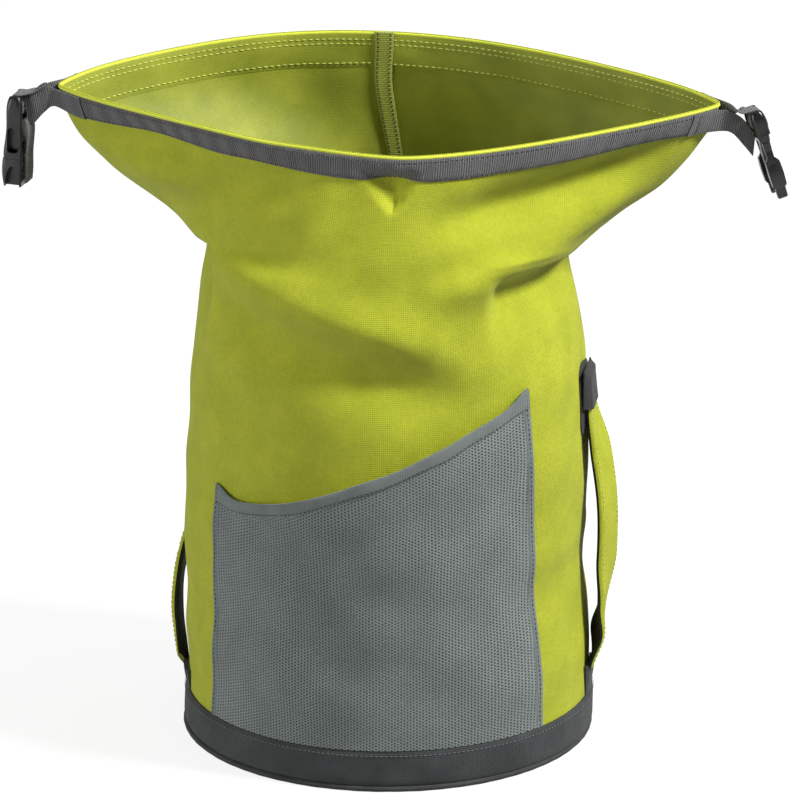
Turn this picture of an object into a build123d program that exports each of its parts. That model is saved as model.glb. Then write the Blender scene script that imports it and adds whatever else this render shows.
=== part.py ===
"""Fruit picking bag: a roll-top canvas bucket with a mesh pocket, two grab handles and a
side-release buckle at the corners of its mouth.  Millimetres, +Z up, +X to the bag's right,
-Y to the front.  The origin is the centre of the underside, on the ground."""
import os
from math import cos, radians, sin

from build123d import *

os.makedirs("parts", exist_ok=True)

# ---------------------------------------------------------------- driving dimensions
canvas = 2.0                 # body wall: canvas and its coated lining
layer_gap = 0.3              # free space kept between sewn layers

panel_radius = 140.2
panel_thick = 2.5
board_radius = 136.0
board_thick = 3.0
lining_radius = 138.0
lining_thick = 1.2
band_outer = 145.0
band_inner = 142.6
band_top = 30.0
piping_radius = 2.2

body_bottom = 2 * piping_radius + layer_gap
shoulder_z = 351.0

rim_centre = (0, 0, 461)     # middle of the mouth plane
rim_tilt = 5.6               # degrees: the back of the mouth stands higher than the front
rim_half_width = 230.0
rim_depth = 118.0            # from the middle to the front and to the back of the mouth
collar_drop = 32.0           # straight-sided part below the mouth
collar_half_width = 219.0
collar_depth = 121.0
edge_height = 3.0            # rolled lime edge
hem_drop = 27.0
webbing_width = 16.0
webbing_thick = 1.6
corner_x = 226.0             # where the sewn webbing ends and the free tabs begin

pocket_thick = 1.2
pocket_hem_width = 9.5
binding_width = 3.5
seam_tape_width = 14.0

buckle_width = 26.0
buckle_wall = 2.4
block_length = 17.0          # end of each buckle half, round which the webbing is wrapped
socket_length = 64.0
plug_length = 64.0
arm_gap = 0.35               # clearance round a squeeze arm

strap_half_width = 14.0      # padded handles
strap_thick = 7.0
skin_thick = 1.2

# level of a body section: plane height, half width, depth from the axis, flatness
# flatness 0 is a round section, 1 is a lens with a corner at each side
lower_levels = [
    (body_bottom, 141.4, 141.4, 0.0),
    (30.0, 142.0, 142.0, 0.0),
    (64.0, 142.4, 142.4, 0.0),
    (121.0, 139.8, 140.4, 0.0),
    (176.0, 139.6, 139.6, 0.0),
    (227.0, 139.4, 138.4, 0.0),
    (278.0, 137.2, 136.6, 0.0),
    (316.0, 133.6, 134.2, 0.0),
    (shoulder_z, 129.0, 131.6, 0.0),
]
flare_levels = [
    (375.0, 158.0, 129.8, 0.35),
    (402.0, 193.0, 126.0, 0.75),
]


# ---------------------------------------------------------------- shared geometry
def rim_plane(drop):
    """Plane parallel to the mouth, the given distance below it."""
    normal = Vector(0, -sin(radians(rim_tilt)), cos(radians(rim_tilt)))
    return Plane(Vector(*rim_centre) - normal * drop, x_dir=(1, 0, 0), z_dir=normal)


def bag_section(plane, half_width, depth, flat, grow):
    """One closed outline of the bag: four curves that meet at the sides, the front and the back."""
    wide = half_width + grow * (1 + 0.4 * flat)
    deep = depth + grow
    with BuildSketch(plane) as section:
        with BuildLine():
            for hand, side in ((-1, -1), (1, -1), (1, 1), (-1, 1)):
                Bezier(
                    (hand * wide, 0),
                    (hand * wide * (1 - flat / 3), side * (0.5523 + 0.1144 * flat) * deep),
                    (hand * wide * (0.5523 - 0.219 * flat), side * deep),
                    (0, side * deep),
                )
        make_face()
    return section.sketch


def level_sections(levels, grow):
    """The bag's outlines at a list of levels, a distance off the canvas."""
    return [bag_section(Plane.XY.offset(level[0]), *level[1:], grow) for level in levels]


def body_loft(grow, mode):
    """The round lower bag, from its foot up to the shoulders."""
    loft(level_sections(lower_levels, grow), mode=mode)


def flare_loft(grow, mode):
    """From the shoulders out to the foot of the collar."""
    sections = level_sections([lower_levels[-1], *flare_levels], grow)
    sections.append(bag_section(rim_plane(collar_drop), collar_half_width, collar_depth, 1.0, grow))
    loft(sections, mode=mode)


def collar_loft(grow, drop_low, drop_high, mode):
    """A stretch of the straight-sided collar between two distances below the mouth."""
    sections = []
    for drop in (drop_low, drop_high):
        share = drop / collar_drop
        half_width = rim_half_width + (collar_half_width - rim_half_width) * share
        depth = rim_depth + (collar_depth - rim_depth) * share
        sections.append(bag_section(rim_plane(drop), half_width, depth, 1.0, grow))
    loft(sections, ruled=True, mode=mode)


def save(part, name):
    part.label = name
    export_step(part, f"parts/{name}.step")
    print(f"{name:28s} {part.volume / 1000:9.2f} cm3")


# ---------------------------------------------------------------- bag body and mouth
def half_space(side):
    """A block over the front half of the bag, side -1, or its back half, side 1."""
    with BuildSketch(Plane.XY) as block:
        with Locations((0, side * rim_half_width)):
            Rectangle(4 * rim_half_width, 2 * rim_half_width)
    return block.sketch


def body_panel(side):
    """Half of the round lower bag, from its foot to the shoulders."""
    with BuildPart() as panel:
        body_loft(0, Mode.ADD)
        body_loft(-canvas, Mode.SUBTRACT)
        extrude(half_space(side), amount=shoulder_z, mode=Mode.INTERSECT)
    return panel.part


def collar_panel(side):
    """Half of the flared collar, from the shoulders to the mouth."""
    with BuildPart() as panel:
        flare_loft(0, Mode.ADD)
        collar_loft(0, collar_drop, edge_height, Mode.ADD)
        flare_loft(-canvas, Mode.SUBTRACT)
        collar_loft(-canvas, collar_drop, edge_height, Mode.SUBTRACT)
        extrude(half_space(side), amount=2 * rim_centre[2], mode=Mode.INTERSECT)
    return panel.part


for side_name, side in (("front", -1), ("back", 1)):
    save(body_panel(side), f"body_{side_name}_panel")
    save(collar_panel(side), f"collar_{side_name}_panel")

with BuildPart() as rim_edge:
    collar_loft(webbing_thick / 2, edge_height, 0, Mode.ADD)
    collar_loft(-canvas - webbing_thick / 2, edge_height, 0, Mode.SUBTRACT)
save(rim_edge.part, "rim_edge")

with BuildPart() as rim_hem:
    collar_loft(-canvas - layer_gap, hem_drop, edge_height + layer_gap, Mode.ADD)
    collar_loft(-canvas - layer_gap - skin_thick, hem_drop, edge_height + layer_gap, Mode.SUBTRACT)
save(rim_hem.part, "rim_hem")


def rim_webbing(side):
    """The webbing sewn to one half of the mouth, side -1 for the front and 1 for the back."""
    webbing_top = edge_height + layer_gap
    with BuildPart() as webbing:
        collar_loft(layer_gap + webbing_thick, webbing_top + webbing_width, webbing_top, Mode.ADD)
        collar_loft(layer_gap, webbing_top + webbing_width, webbing_top, Mode.SUBTRACT)
        with BuildSketch(rim_plane(2 * collar_drop)):
            with Locations((0, side * rim_half_width / 2)):
                Rectangle(2 * corner_x, rim_half_width)
        extrude(amount=4 * collar_drop, mode=Mode.INTERSECT)
    return webbing.part


save(rim_webbing(-1), "rim_webbing_front")
save(rim_webbing(1), "rim_webbing_back")

bartack_x = 214.0
bartack_size = (1.8, 13.0)


def bartack(hand, side):
    """A short bar of stitches across the webbing near one corner of the mouth."""
    proud = layer_gap + webbing_thick
    with BuildPart() as stitches:
        collar_loft(proud + 0.8, hem_drop, edge_height, Mode.ADD)
        collar_loft(proud + 0.05, hem_drop, edge_height, Mode.SUBTRACT)
        middle = edge_height + layer_gap + webbing_width / 2
        with BuildSketch(Plane(rim_plane(middle).origin, x_dir=(1, 0, 0), z_dir=(0, side, 0))):
            with Locations((hand * bartack_x, 0)):
                Rectangle(*bartack_size)
        extrude(amount=rim_half_width, mode=Mode.INTERSECT)
    return stitches.part


tacks = [bartack(hand, side) for hand in (-1, 1) for side in (-1, 1)]
save(Compound(children=tacks), "bartacks")

with BuildPart() as back_seam_tape:
    tape_low = 12.0
    body_loft(-canvas - layer_gap, Mode.ADD)
    body_loft(-canvas - layer_gap - 1.0, Mode.SUBTRACT)
    flare_loft(-canvas - layer_gap, Mode.ADD)
    flare_loft(-canvas - layer_gap - 1.0, Mode.SUBTRACT)
    with BuildSketch(Plane.XY.offset(tape_low)):
        with Locations((0, band_outer / 2)):
            Rectangle(seam_tape_width, band_outer)
    extrude(amount=rim_centre[2], mode=Mode.INTERSECT)
save(back_seam_tape.part, "back_seam_tape")

# ---------------------------------------------------------------- base
with BuildPart() as base_panel:
    Cylinder(panel_radius, panel_thick, align=(Align.CENTER, Align.CENTER, Align.MIN))
save(base_panel.part, "base_panel")

with BuildPart() as base_board:
    with BuildSketch(Plane.XY.offset(panel_thick + layer_gap)):
        Circle(board_radius)
    extrude(amount=board_thick)
save(base_board.part, "base_board")

with BuildPart() as base_lining:
    with BuildSketch(Plane.XY.offset(panel_thick + board_thick + 2 * layer_gap)):
        Circle(lining_radius)
    extrude(amount=lining_thick)
save(base_lining.part, "base_lining")

with BuildPart() as base_piping:
    with BuildSketch(Plane.XZ):
        with Locations((band_outer - piping_radius, piping_radius)):
            Circle(piping_radius)
    revolve(axis=Axis.Z)
save(base_piping.part, "base_piping")

with BuildPart() as base_band:
    band_low = 2 * piping_radius + layer_gap
    with BuildSketch(Plane.XY.offset(band_low)):
        Circle(band_outer)
        Circle(band_inner, mode=Mode.SUBTRACT)
    extrude(amount=band_top - band_low)
    fillet(base_band.edges().group_by(Axis.Z)[-1].sort_by(SortBy.LENGTH)[-1], 0.8)
save(base_band.part, "base_band")

# ---------------------------------------------------------------- mesh pocket
# pocket sections: height, distance that the mesh stands off the canvas at the middle
pocket_levels = [(30.5, 0.8), (90.0, 2.5), (150.0, 7.0), (205.0, 11.0), (245.0, 12.0), (285.0, 9.0)]
pocket_reach = 116.0         # half width of the pocket's cloth, before its edges are cut
pocket_left = (-114.0, 30.5, -110.5, 200.0)    # x, z at the foot and at the top corner
pocket_right = (114.0, 30.5, 106.5, 276.0)
pocket_top = [(75, 261), (22, 238), (-47, 208), (-97, 194)]    # its top edge, from right to left


def canvas_front(height, x):
    """How far in front of the axis the canvas lies at a height, x off the middle."""
    for low, high in zip(lower_levels, lower_levels[1:]):
        if low[0] <= height <= high[0]:
            share = (height - low[0]) / (high[0] - low[0])
            depth = low[2] + (high[2] - low[2]) * share
            half_width = low[1] + (high[1] - low[1]) * share
            return depth * (1 - (x / half_width) ** 2) ** 0.5
    raise ValueError("height is outside the round part of the bag")


def pocket_loft(extra, mode):
    """The solid between a chord behind the pocket and its cloth, at a distance in front of it."""
    chord = -canvas_front(150.0, pocket_reach) + 40
    sections = []
    for height, stand_off in pocket_levels:
        side_y = -canvas_front(height, pocket_reach) - 0.6 - extra
        front_y = -canvas_front(height, 0) - stand_off - extra
        with BuildSketch(Plane.XY.offset(height)) as section:
            with BuildLine():
                ThreePointArc((-pocket_reach, side_y), (0, front_y), (pocket_reach, side_y))
                Polyline(
                    (pocket_reach, side_y), (pocket_reach, chord),
                    (-pocket_reach, chord), (-pocket_reach, side_y),
                )
            make_face()
        sections.append(section.sketch)
    loft(sections, mode=mode)


def pocket_outline(inset_side):
    """The pocket's cut edge: straight sides, and a top that dips and then climbs to the right."""
    left_x, foot, left_top_x, left_z = pocket_left
    right_x, _, right_top_x, right_z = pocket_right
    with BuildSketch(Plane.XZ) as outline:
        with BuildLine():
            Line((left_x + inset_side, foot), (right_x - inset_side, foot))
            Line((right_x - inset_side, foot), (right_top_x - inset_side, right_z))
            Spline((right_top_x - inset_side, right_z), *pocket_top, (left_top_x + inset_side, left_z))
            Line((left_top_x + inset_side, left_z), (left_x + inset_side, foot))
        make_face()
    return outline.sketch


def below_hem(drop):
    """Everything below the pocket's top edge, lowered by a distance."""
    left = Vector(pocket_left[2] - 10, pocket_left[3] + 14)
    right = Vector(pocket_right[2] + 10, pocket_right[3] + 6)
    line = [right, (pocket_right[2], pocket_right[3]), *pocket_top, (pocket_left[2], pocket_left[3]), left]
    line = [Vector(*point) - Vector(0, drop) for point in line]
    with BuildSketch(Plane.XZ) as region:
        with BuildLine():
            Spline(*line)
            Polyline(line[-1], (line[-1].X, 0), (line[0].X, 0), line[0])
        make_face()
    return region.sketch


def binding_outline(hand):
    """The strip along one side of the pocket."""
    low_x, foot, top_x, top_z = pocket_left if hand < 0 else pocket_right
    with BuildSketch(Plane.XZ) as outline:
        with BuildLine():
            Polyline(
                (low_x, foot), (low_x - hand * binding_width, foot),
                (top_x - hand * binding_width, top_z), (top_x, top_z), close=True,
            )
        make_face()
    return outline.sketch


def pocket_piece(outline, thick):
    """A layer of the pocket's cloth, cut to an outline."""
    with BuildPart() as piece:
        pocket_loft(thick, Mode.ADD)
        pocket_loft(0, Mode.SUBTRACT)
        extrude(outline, amount=2 * band_outer, mode=Mode.INTERSECT)
    return piece.part


inner_side = binding_width + layer_gap
mesh_outline = pocket_outline(inner_side) & below_hem(pocket_hem_width + layer_gap)
hem_outline = pocket_outline(inner_side) - below_hem(pocket_hem_width)
save(pocket_piece(mesh_outline, pocket_thick), "pocket_mesh")
save(pocket_piece(hem_outline, pocket_thick + 0.5), "pocket_hem")
save(pocket_piece(binding_outline(-1), pocket_thick + 0.5), "pocket_binding_left")
save(pocket_piece(binding_outline(1), pocket_thick + 0.5), "pocket_binding_right")

# ---------------------------------------------------------------- padded handles
# A handle lies in its own plane: r is out from the bag, s runs along the handle from its foot.
# Each point of a strap is (r of its outer face, s, thickness).
side_angle = -2.0            # direction of the side handle about the axis, from +X
side_strap = [
    (147.5, 50, 3.6), (151.0, 64, 5.4), (156.6, 90, strap_thick), (160.8, 130, strap_thick),
    (161.4, 170, strap_thick), (158.2, 210, strap_thick), (151.5, 240, 5.6), (145.2, 262, 3.4),
]
side_grip = (85.0, 212.0)

rear_foot_angle = 188.0      # the rear handle climbs from the left side towards the back
rear_head_angle = 142.0
rear_foot_z = 36.0
rear_head_z = 168.0
rear_anchor_radius = 141.5
rear_strap = [
    (7.0, 8, 3.6), (15.0, 24, 5.4), (25.0, 45, strap_thick), (31.5, 70, strap_thick),
    (32.8, 90, strap_thick), (29.5, 115, strap_thick), (20.5, 138, 5.6), (9.0, 162, 3.4),
]
rear_grip = (45.0, 128.0)
tab_reach = 20.0             # length of the dark tab below a strap's foot
patch_width = 36.0
patch_length = 52.0


def radial(angle, radius, height):
    """A point at a direction about the axis, in degrees from +X."""
    return Vector(radius * cos(radians(angle)), radius * sin(radians(angle)), height)


def side_plane():
    """Upright plane through the axis and the side handle, x outward and y up."""
    outward = radial(side_angle, 1, 0)
    return Plane((0, 0, 0), x_dir=outward, z_dir=outward.cross(Vector(0, 0, 1)))


def rear_plane():
    """Plane of the rear handle: its y axis runs from the foot anchor to the head anchor."""
    foot = radial(rear_foot_angle, rear_anchor_radius, rear_foot_z)
    head = radial(rear_head_angle, rear_anchor_radius, rear_head_z)
    outward = radial((rear_foot_angle + rear_head_angle) / 2, 1, 0)
    return Plane(foot, x_dir=outward, z_dir=outward.cross((head - foot).normalized()))


def strap_line(strap, depth, share):
    """Points a depth plus a share of the thickness in from the strap's outer face."""
    line = []
    for index, (r, s, thick) in enumerate(strap):
        before = strap[max(index - 1, 0)]
        after = strap[min(index + 1, len(strap) - 1)]
        along = Vector(after[0] - before[0], after[1] - before[1]).normalized()
        inset = depth + share * thick
        line.append((r - along.Y * inset, s + along.X * inset))
    return line


def strap_layer(plane, strap, span, outer, inner, half_width):
    """A stretch of strap between two (depth, share of thickness) lines."""
    low, high = span
    outer_line = strap_line(strap, *outer)
    inner_line = strap_line(strap, *inner)
    with BuildPart() as layer:
        with BuildSketch(plane):
            with BuildLine():
                Spline(*outer_line)
                Line(outer_line[-1], inner_line[-1])
                Spline(*reversed(inner_line))
                Line(inner_line[0], outer_line[0])
            make_face()
            with Locations((outer_line[0][0], (low + high) / 2)):
                Rectangle(4 * band_outer, high - low, mode=Mode.INTERSECT)
        extrude(amount=half_width, both=True)
    return layer.part


def sewn_end(plane, strap, span, clearance):
    """The end of a handle strap, its underside shaped to the bag."""
    with BuildPart() as end:
        add(strap_layer(plane, strap, span, (0, 0), (0, 1), strap_half_width))
        body_loft(clearance, Mode.SUBTRACT)
    return end.part


def foot_tab(plane, strap):
    """The dark tab between a strap's foot and the base band."""
    r, s, thick = strap[0]
    with BuildPart() as tab:
        with BuildSketch(plane):
            with BuildLine():
                Polyline(
                    (r, s - layer_gap), (r - thick - 12, s - layer_gap),
                    (r - thick - 12, s - tab_reach), (r - 1.2, s - tab_reach), close=True,
                )
            make_face()
        extrude(amount=strap_half_width + 1, both=True)
        body_loft(2 * layer_gap, Mode.SUBTRACT)
        with BuildSketch(Plane.XY.offset(band_top + layer_gap)):
            Circle(2 * band_outer)
        extrude(amount=rim_centre[2], mode=Mode.INTERSECT)
    return tab.part


def head_patch(angle, height, lean):
    """The rounded patch that holds a strap's head, a thin curved plate on the canvas."""
    outward = radial(angle, 1, 0)
    across = Vector(0, 0, 1).cross(outward)
    across = across.rotate(Axis((0, 0, 0), outward), lean)
    facing = Plane(Vector(0, 0, height), x_dir=across, z_dir=outward)
    with BuildPart() as patch:
        body_loft(layer_gap + 1.4, Mode.ADD)
        body_loft(layer_gap, Mode.SUBTRACT)
        with BuildSketch(facing):
            RectangleRounded(patch_width, patch_length, patch_width / 2 - 6)
        extrude(amount=2 * band_outer, mode=Mode.INTERSECT)
    return patch.part


def padded_handle(name, plane, strap, grip, patch):
    """The seven pieces of one handle: a grip that swings and the sewn ends that hold it."""
    low, high = grip
    skin = skin_thick
    gap = layer_gap / 2
    half = strap_half_width
    save(strap_layer(plane, strap, grip, (0, 0), (skin, 0), half), f"{name}_cover")
    save(strap_layer(plane, strap, grip, (skin + gap, 0), (-skin - gap, 1), half), f"{name}_foam")
    save(strap_layer(plane, strap, grip, (-skin, 1), (0, 1), half), f"{name}_lining")
    bottom = (strap[0][1], low - layer_gap)
    top = (high + layer_gap, strap[-1][1])
    save(sewn_end(plane, strap, bottom, 2 * layer_gap), f"{name}_bottom_end")
    save(sewn_end(plane, strap, top, 2.0 + layer_gap), f"{name}_top_end")
    save(foot_tab(plane, strap), f"{name}_tab")
    save(patch, f"{name}_patch")


padded_handle("side_handle", side_plane(), side_strap, side_grip, head_patch(side_angle, 246.5, 0))
rear_lean = -39.0
padded_handle(
    "rear_handle", rear_plane(), rear_strap, rear_grip,
    head_patch(rear_head_angle, rear_head_z - 6, rear_lean),
)

# ---------------------------------------------------------------- buckle and its webbing
left_top = Vector(-257.0, 0, 453.5)    # middle of the socket's upper end
left_lean = -2.0                       # degrees that the half leans from hanging straight down
left_turn = -10.0                      # degrees that it is turned about its own length
right_top = Vector(252.0, 0, 457.0)
right_lean = 18.0
right_turn = 17.0


def hanging_plane(top, lean, turn):
    """Plane of a buckle half's side: x through its thickness, y up its length, z along its width."""
    up = Vector(-sin(radians(lean)), 0, cos(radians(lean)))
    thickness = Vector(cos(radians(lean)), 0, sin(radians(lean)))
    thickness = thickness.rotate(Axis((0, 0, 0), up), turn)
    return Plane(top, x_dir=thickness, z_dir=thickness.cross(up))


def face_plane(side):
    """The plane of the buckle's wide face, for a given side plane."""
    return Plane(side.origin, x_dir=-side.z_dir, z_dir=side.x_dir)


socket_plane = hanging_plane(left_top, left_lean, left_turn)
plug_plane = hanging_plane(right_top, right_lean, right_turn)

half_buckle = buckle_width / 2
rail = 3.6                   # side rails of the end that holds the webbing
bar_half_thick = 3.0
bar_low = -13.0
bar_high = -3.4
wrap_half_width = 8.0
slot_half_width = half_buckle - rail


def webbing_bar(side):
    """Cuts the open end between the rails and leaves the bar across it."""
    with BuildSketch(side) as slot:
        with Locations((0, (1 - block_length) / 2 + 1)):
            Rectangle(4 * half_buckle, block_length + 1)
    extrude(slot.sketch, amount=slot_half_width, both=True, mode=Mode.SUBTRACT)
    with BuildSketch(side) as bar:
        with Locations((0, (bar_low + bar_high) / 2)):
            RectangleRounded(2 * bar_half_thick, bar_high - bar_low, bar_half_thick - 0.1)
    extrude(bar.sketch, amount=slot_half_width + 0.5, both=True)


def side_profile(side, points, reach, mode=Mode.ADD):
    """Extrudes an outline in the buckle's side plane across its width."""
    with BuildSketch(side) as profile:
        with BuildLine():
            Polyline(*points, close=True)
        make_face()
    extrude(profile.sketch, amount=reach, both=True, mode=mode)


def across_plane(side, height):
    """Plane across a buckle half at a height along it: x through its thickness, y along its width."""
    return Plane(side.origin + side.y_dir * height, x_dir=side.x_dir, z_dir=-side.y_dir)


def shell_loft(side, sections, mode=Mode.ADD):
    """A smooth solid through rounded sections: height, middle, half thickness, half width, corner."""
    outlines = []
    for height, middle, half_thick, half_wide, corner in sections:
        with BuildSketch(across_plane(side, height)) as outline:
            with Locations((middle, 0)):
                RectangleRounded(2 * half_thick, 2 * half_wide, corner)
        outlines.append(outline.sketch)
    loft(outlines, mode=mode)


guide_gap = 6.4              # from the middle of the socket to each guide wall beside the tongue
guide_thick = 1.0
hollow_top = -22.0
window_middle = -30.5
window_wide = 8.4
window_tall = 18.0

with BuildPart() as buckle_socket:
    shell_loft(socket_plane, [
        (0.5, 0.0, 3.9, 11.4, 3.4), (-3.0, 0.0, 5.2, 12.6, 3.6), (-16.0, 0.0, 5.6, 12.9, 2.6),
        (-30.0, -0.2, 6.0, 12.7, 2.6), (-47.0, -0.4, 6.1, 12.6, 2.6),
    ])
    # the thicker collar round the mouth
    shell_loft(socket_plane, [
        (-44.0, -0.6, 6.9, 13.3, 2.8), (-54.0, -0.8, 7.1, 13.6, 2.8), (-socket_length, -0.2, 6.3, 13.1, 2.8),
    ])
    fillet(buckle_socket.faces().sort_by(Axis((0, 0, 0), socket_plane.y_dir))[-1].edges(), 1.2)
    webbing_bar(socket_plane)
    # the hollow that takes the plug, open at the mouth, with a guide wall each side of the tongue
    with BuildSketch(across_plane(socket_plane, hollow_top)):
        RectangleRounded(2 * (6.2 - buckle_wall), 2 * (half_buckle - buckle_wall), 1.2)
        for hand in (-1, 1):
            with Locations((0, hand * (guide_gap + guide_thick / 2))):
                Rectangle(4 * half_buckle, guide_thick, mode=Mode.SUBTRACT)
    extrude(amount=socket_length, mode=Mode.SUBTRACT)
    # side windows for the squeeze arms, and the scooped sides of the mouth
    for hand in (-1, 1):
        outer_side = Plane(
            socket_plane.origin + socket_plane.z_dir * hand * 2 * half_buckle,
            x_dir=socket_plane.x_dir, z_dir=socket_plane.z_dir)
        with BuildSketch(outer_side) as cuts:
            with Locations((0, window_middle)):
                RectangleRounded(window_wide, window_tall, 2.8)
            with Locations((0, -socket_length - 1)):
                Ellipse(5.2, 16.0)
        depth = 2 * half_buckle - guide_gap - guide_thick
        extrude(cuts.sketch, amount=-hand * depth, mode=Mode.SUBTRACT)
save(buckle_socket.part, "buckle_socket")


def webbing_wrap(side, name):
    """Webbing wrapped round the bar of a buckle half, a closed band."""
    with BuildPart() as wrap:
        with BuildSketch(side):
            with Locations((0, (bar_low + bar_high) / 2)):
                inside = bar_half_thick + layer_gap
                tall = bar_high - bar_low + 2 * layer_gap
                RectangleRounded(
                    2 * (inside + webbing_thick), tall + 2 * webbing_thick, inside + webbing_thick - 0.1)
                RectangleRounded(2 * inside, tall, inside - 0.1, mode=Mode.SUBTRACT)
        extrude(amount=wrap_half_width, both=True)
    save(wrap.part, name)


webbing_wrap(socket_plane, "left_wrap")
webbing_wrap(plug_plane, "right_wrap")

with BuildPart() as left_tail:
    tail_gap = 6.5 + layer_gap
    side_profile(socket_plane, [
        (tail_gap, -18.5), (tail_gap + webbing_thick, -17), (tail_gap + webbing_thick, -62), (tail_gap, -62),
    ], wrap_half_width)
save(left_tail.part, "left_tail")

plug_base_low = -22.0
tongue_low = -56.0
arm_root_out = 11.6

with BuildPart() as plug_body:
    shell_loft(plug_plane, [
        (0.5, 0.0, 3.6, 11.4, 3.0), (-3.0, 0.0, 4.9, 12.7, 3.2), (-12.0, 0.0, 5.2, 13.0, 3.0),
        (-block_length, 0.0, 5.2, 13.0, 3.0),
    ])
    shell_loft(plug_plane, [
        (-block_length + 1, 0.0, 4.2, 12.4, 2.6), (plug_base_low, 0.0, 3.5, 12.0, 2.2),
    ])
    fillet(plug_body.faces().sort_by(Axis((0, 0, 0), plug_plane.y_dir))[-1].edges(), 1.1)
    webbing_bar(plug_plane)
    # the middle tongue that guides the plug home
    shell_loft(plug_plane, [
        (plug_base_low + 0.5, 0.0, 2.3, 2.8, 0.9), (tongue_low + 4, 0.0, 2.2, 2.6, 0.9),
        (tongue_low, 0.0, 1.5, 1.9, 0.7),
    ])
save(plug_body.part, "plug_body")


def squeeze_arm(hand, name):
    """One springing arm of the plug: a slim neck, a thick thumb pad and a stepped, rounded tip."""
    arm_top = plug_base_low - arm_gap
    with BuildPart() as arm:
        with BuildSketch(face_plane(plug_plane)):
            with BuildLine():
                Polyline(
                    (hand * arm_root_out, arm_top), (hand * 8.4, arm_top), (hand * 9.0, -38),
                    (hand * 8.2, -plug_length + 2.5), (hand * 9.2, -plug_length + 0.6),
                )
                ThreePointArc(
                    (hand * 9.2, -plug_length + 0.6), (hand * 10.6, -plug_length + 0.5),
                    (hand * 11.6, -plug_length + 2.2),
                )
                Polyline(
                    (hand * 11.6, -plug_length + 2.2), (hand * 11.9, -56.5), (hand * 13.2, -55.0),
                    (hand * 13.9, -52.5),
                )
                ThreePointArc((hand * 13.9, -52.5), (hand * 14.4, -45.0), (hand * 13.7, -37.5))
                Polyline(
                    (hand * 13.7, -37.5), (hand * 12.0, -35.6), (hand * 11.2, -29),
                    (hand * arm_root_out, arm_top),
                )
            make_face()
        extrude(amount=5.4, both=True)
        with BuildSketch(plug_plane):
            with BuildLine():
                Polyline(
                    (-2.8, arm_top), (2.8, arm_top), (2.4, -33.5), (4.9, -36.5), (5.2, -45), (4.9, -54),
                    (3.6, -55.5), (3.5, -plug_length + 1.5), (2.4, -plug_length),
                    (-2.4, -plug_length), (-3.5, -plug_length + 1.5), (-3.6, -55.5), (-4.9, -54),
                    (-5.2, -45), (-4.9, -36.5), (-2.4, -33.5), close=True,
                )
            make_face()
        extrude(amount=2 * half_buckle, both=True, mode=Mode.INTERSECT)
        fillet(arm.edges().filter_by(Axis((0, 0, 0), plug_plane.x_dir), tolerance=20), 0.35)
    save(arm.part, name)


# the face plane's x axis points away from the front
squeeze_arm(-1, "plug_arm_front")
squeeze_arm(1, "plug_arm_back")


def corner_tab(layers, name):
    """The webbing ends beyond a mouth corner, sewn together at the corner and parting from there."""
    with BuildPart() as tab:
        with BuildSketch(Plane.XZ):
            with BuildLine():
                for layer in layers:
                    Polyline(*layer)
            trace(line_width=webbing_thick)
        extrude(amount=wrap_half_width, both=True)
    save(tab.part, name)


left_root = (-234.6, 459.6)
corner_tab([
    [left_root, (-240.5, 461.2), (-247.5, 459.0), (-252.0, 455.6)],
    [left_root, (-240.5, 453.0), (-243.5, 449.5)],
], "left_tab")
right_root = (234.6, 459.6)
corner_tab([
    [right_root, (243.0, 460.2), (253.0, 457.9)],
    [right_root, (239.5, 453.5), (241.5, 451.0)],
], "right_tab")
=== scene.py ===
"""The looks of a roll-top fruit picking bag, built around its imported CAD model.
Shapes are worked out in millimetres in the bag's own frame: +Z up, -Y to the front, the origin in
the middle of the underside.  They become metres when a mesh is made."""
from math import cos, exp, pi, radians, sin, tan

import bmesh
import bpy
import numpy as np
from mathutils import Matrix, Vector


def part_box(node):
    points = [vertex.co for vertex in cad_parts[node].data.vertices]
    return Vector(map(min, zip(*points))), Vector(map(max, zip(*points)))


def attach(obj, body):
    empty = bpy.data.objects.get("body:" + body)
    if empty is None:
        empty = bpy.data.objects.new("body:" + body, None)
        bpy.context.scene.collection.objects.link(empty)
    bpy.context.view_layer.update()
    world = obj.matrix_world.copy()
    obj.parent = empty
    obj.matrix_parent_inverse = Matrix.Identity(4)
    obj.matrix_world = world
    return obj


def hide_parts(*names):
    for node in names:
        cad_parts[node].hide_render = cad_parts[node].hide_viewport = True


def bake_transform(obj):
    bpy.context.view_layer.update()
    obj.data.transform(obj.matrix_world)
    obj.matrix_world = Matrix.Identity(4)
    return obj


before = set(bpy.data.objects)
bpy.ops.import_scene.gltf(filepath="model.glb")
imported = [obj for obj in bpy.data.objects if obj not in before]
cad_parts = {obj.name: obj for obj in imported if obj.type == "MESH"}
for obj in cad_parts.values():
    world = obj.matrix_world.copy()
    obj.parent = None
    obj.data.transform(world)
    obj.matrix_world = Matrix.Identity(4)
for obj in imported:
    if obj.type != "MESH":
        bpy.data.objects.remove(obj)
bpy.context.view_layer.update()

MM = 0.001
scene = bpy.context.scene


# ---------------------------------------------------------------- sizes from the frame
def node_box(*nodes):
    """Lowest and highest corner of one or more CAD nodes, in millimetres."""
    corners = [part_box(node) for node in nodes]
    low = np.min([np.array(low) for low, _ in corners], axis=0)
    high = np.max([np.array(high) for _, high in corners], axis=0)
    return low / MM, high / MM


body_low, body_high = node_box("body_front_panel", "body_back_panel")
collar_low, _ = node_box("collar_front_panel")
_, rim_high = node_box("rim_edge")
_, band_high = node_box("base_band")
_, piping_high = node_box("base_piping")
pocket_low, _ = node_box("pocket_mesh", "pocket_hem")

rim_tilt = radians(5.6)
body_bottom = body_low[2]
body_radius = body_high[0]
shoulder = collar_low[2]
rim_z = rim_high[2] - rim_high[1] * tan(rim_tilt) + 0.3
band_radius = band_high[0]
band_top = band_high[2]

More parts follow.
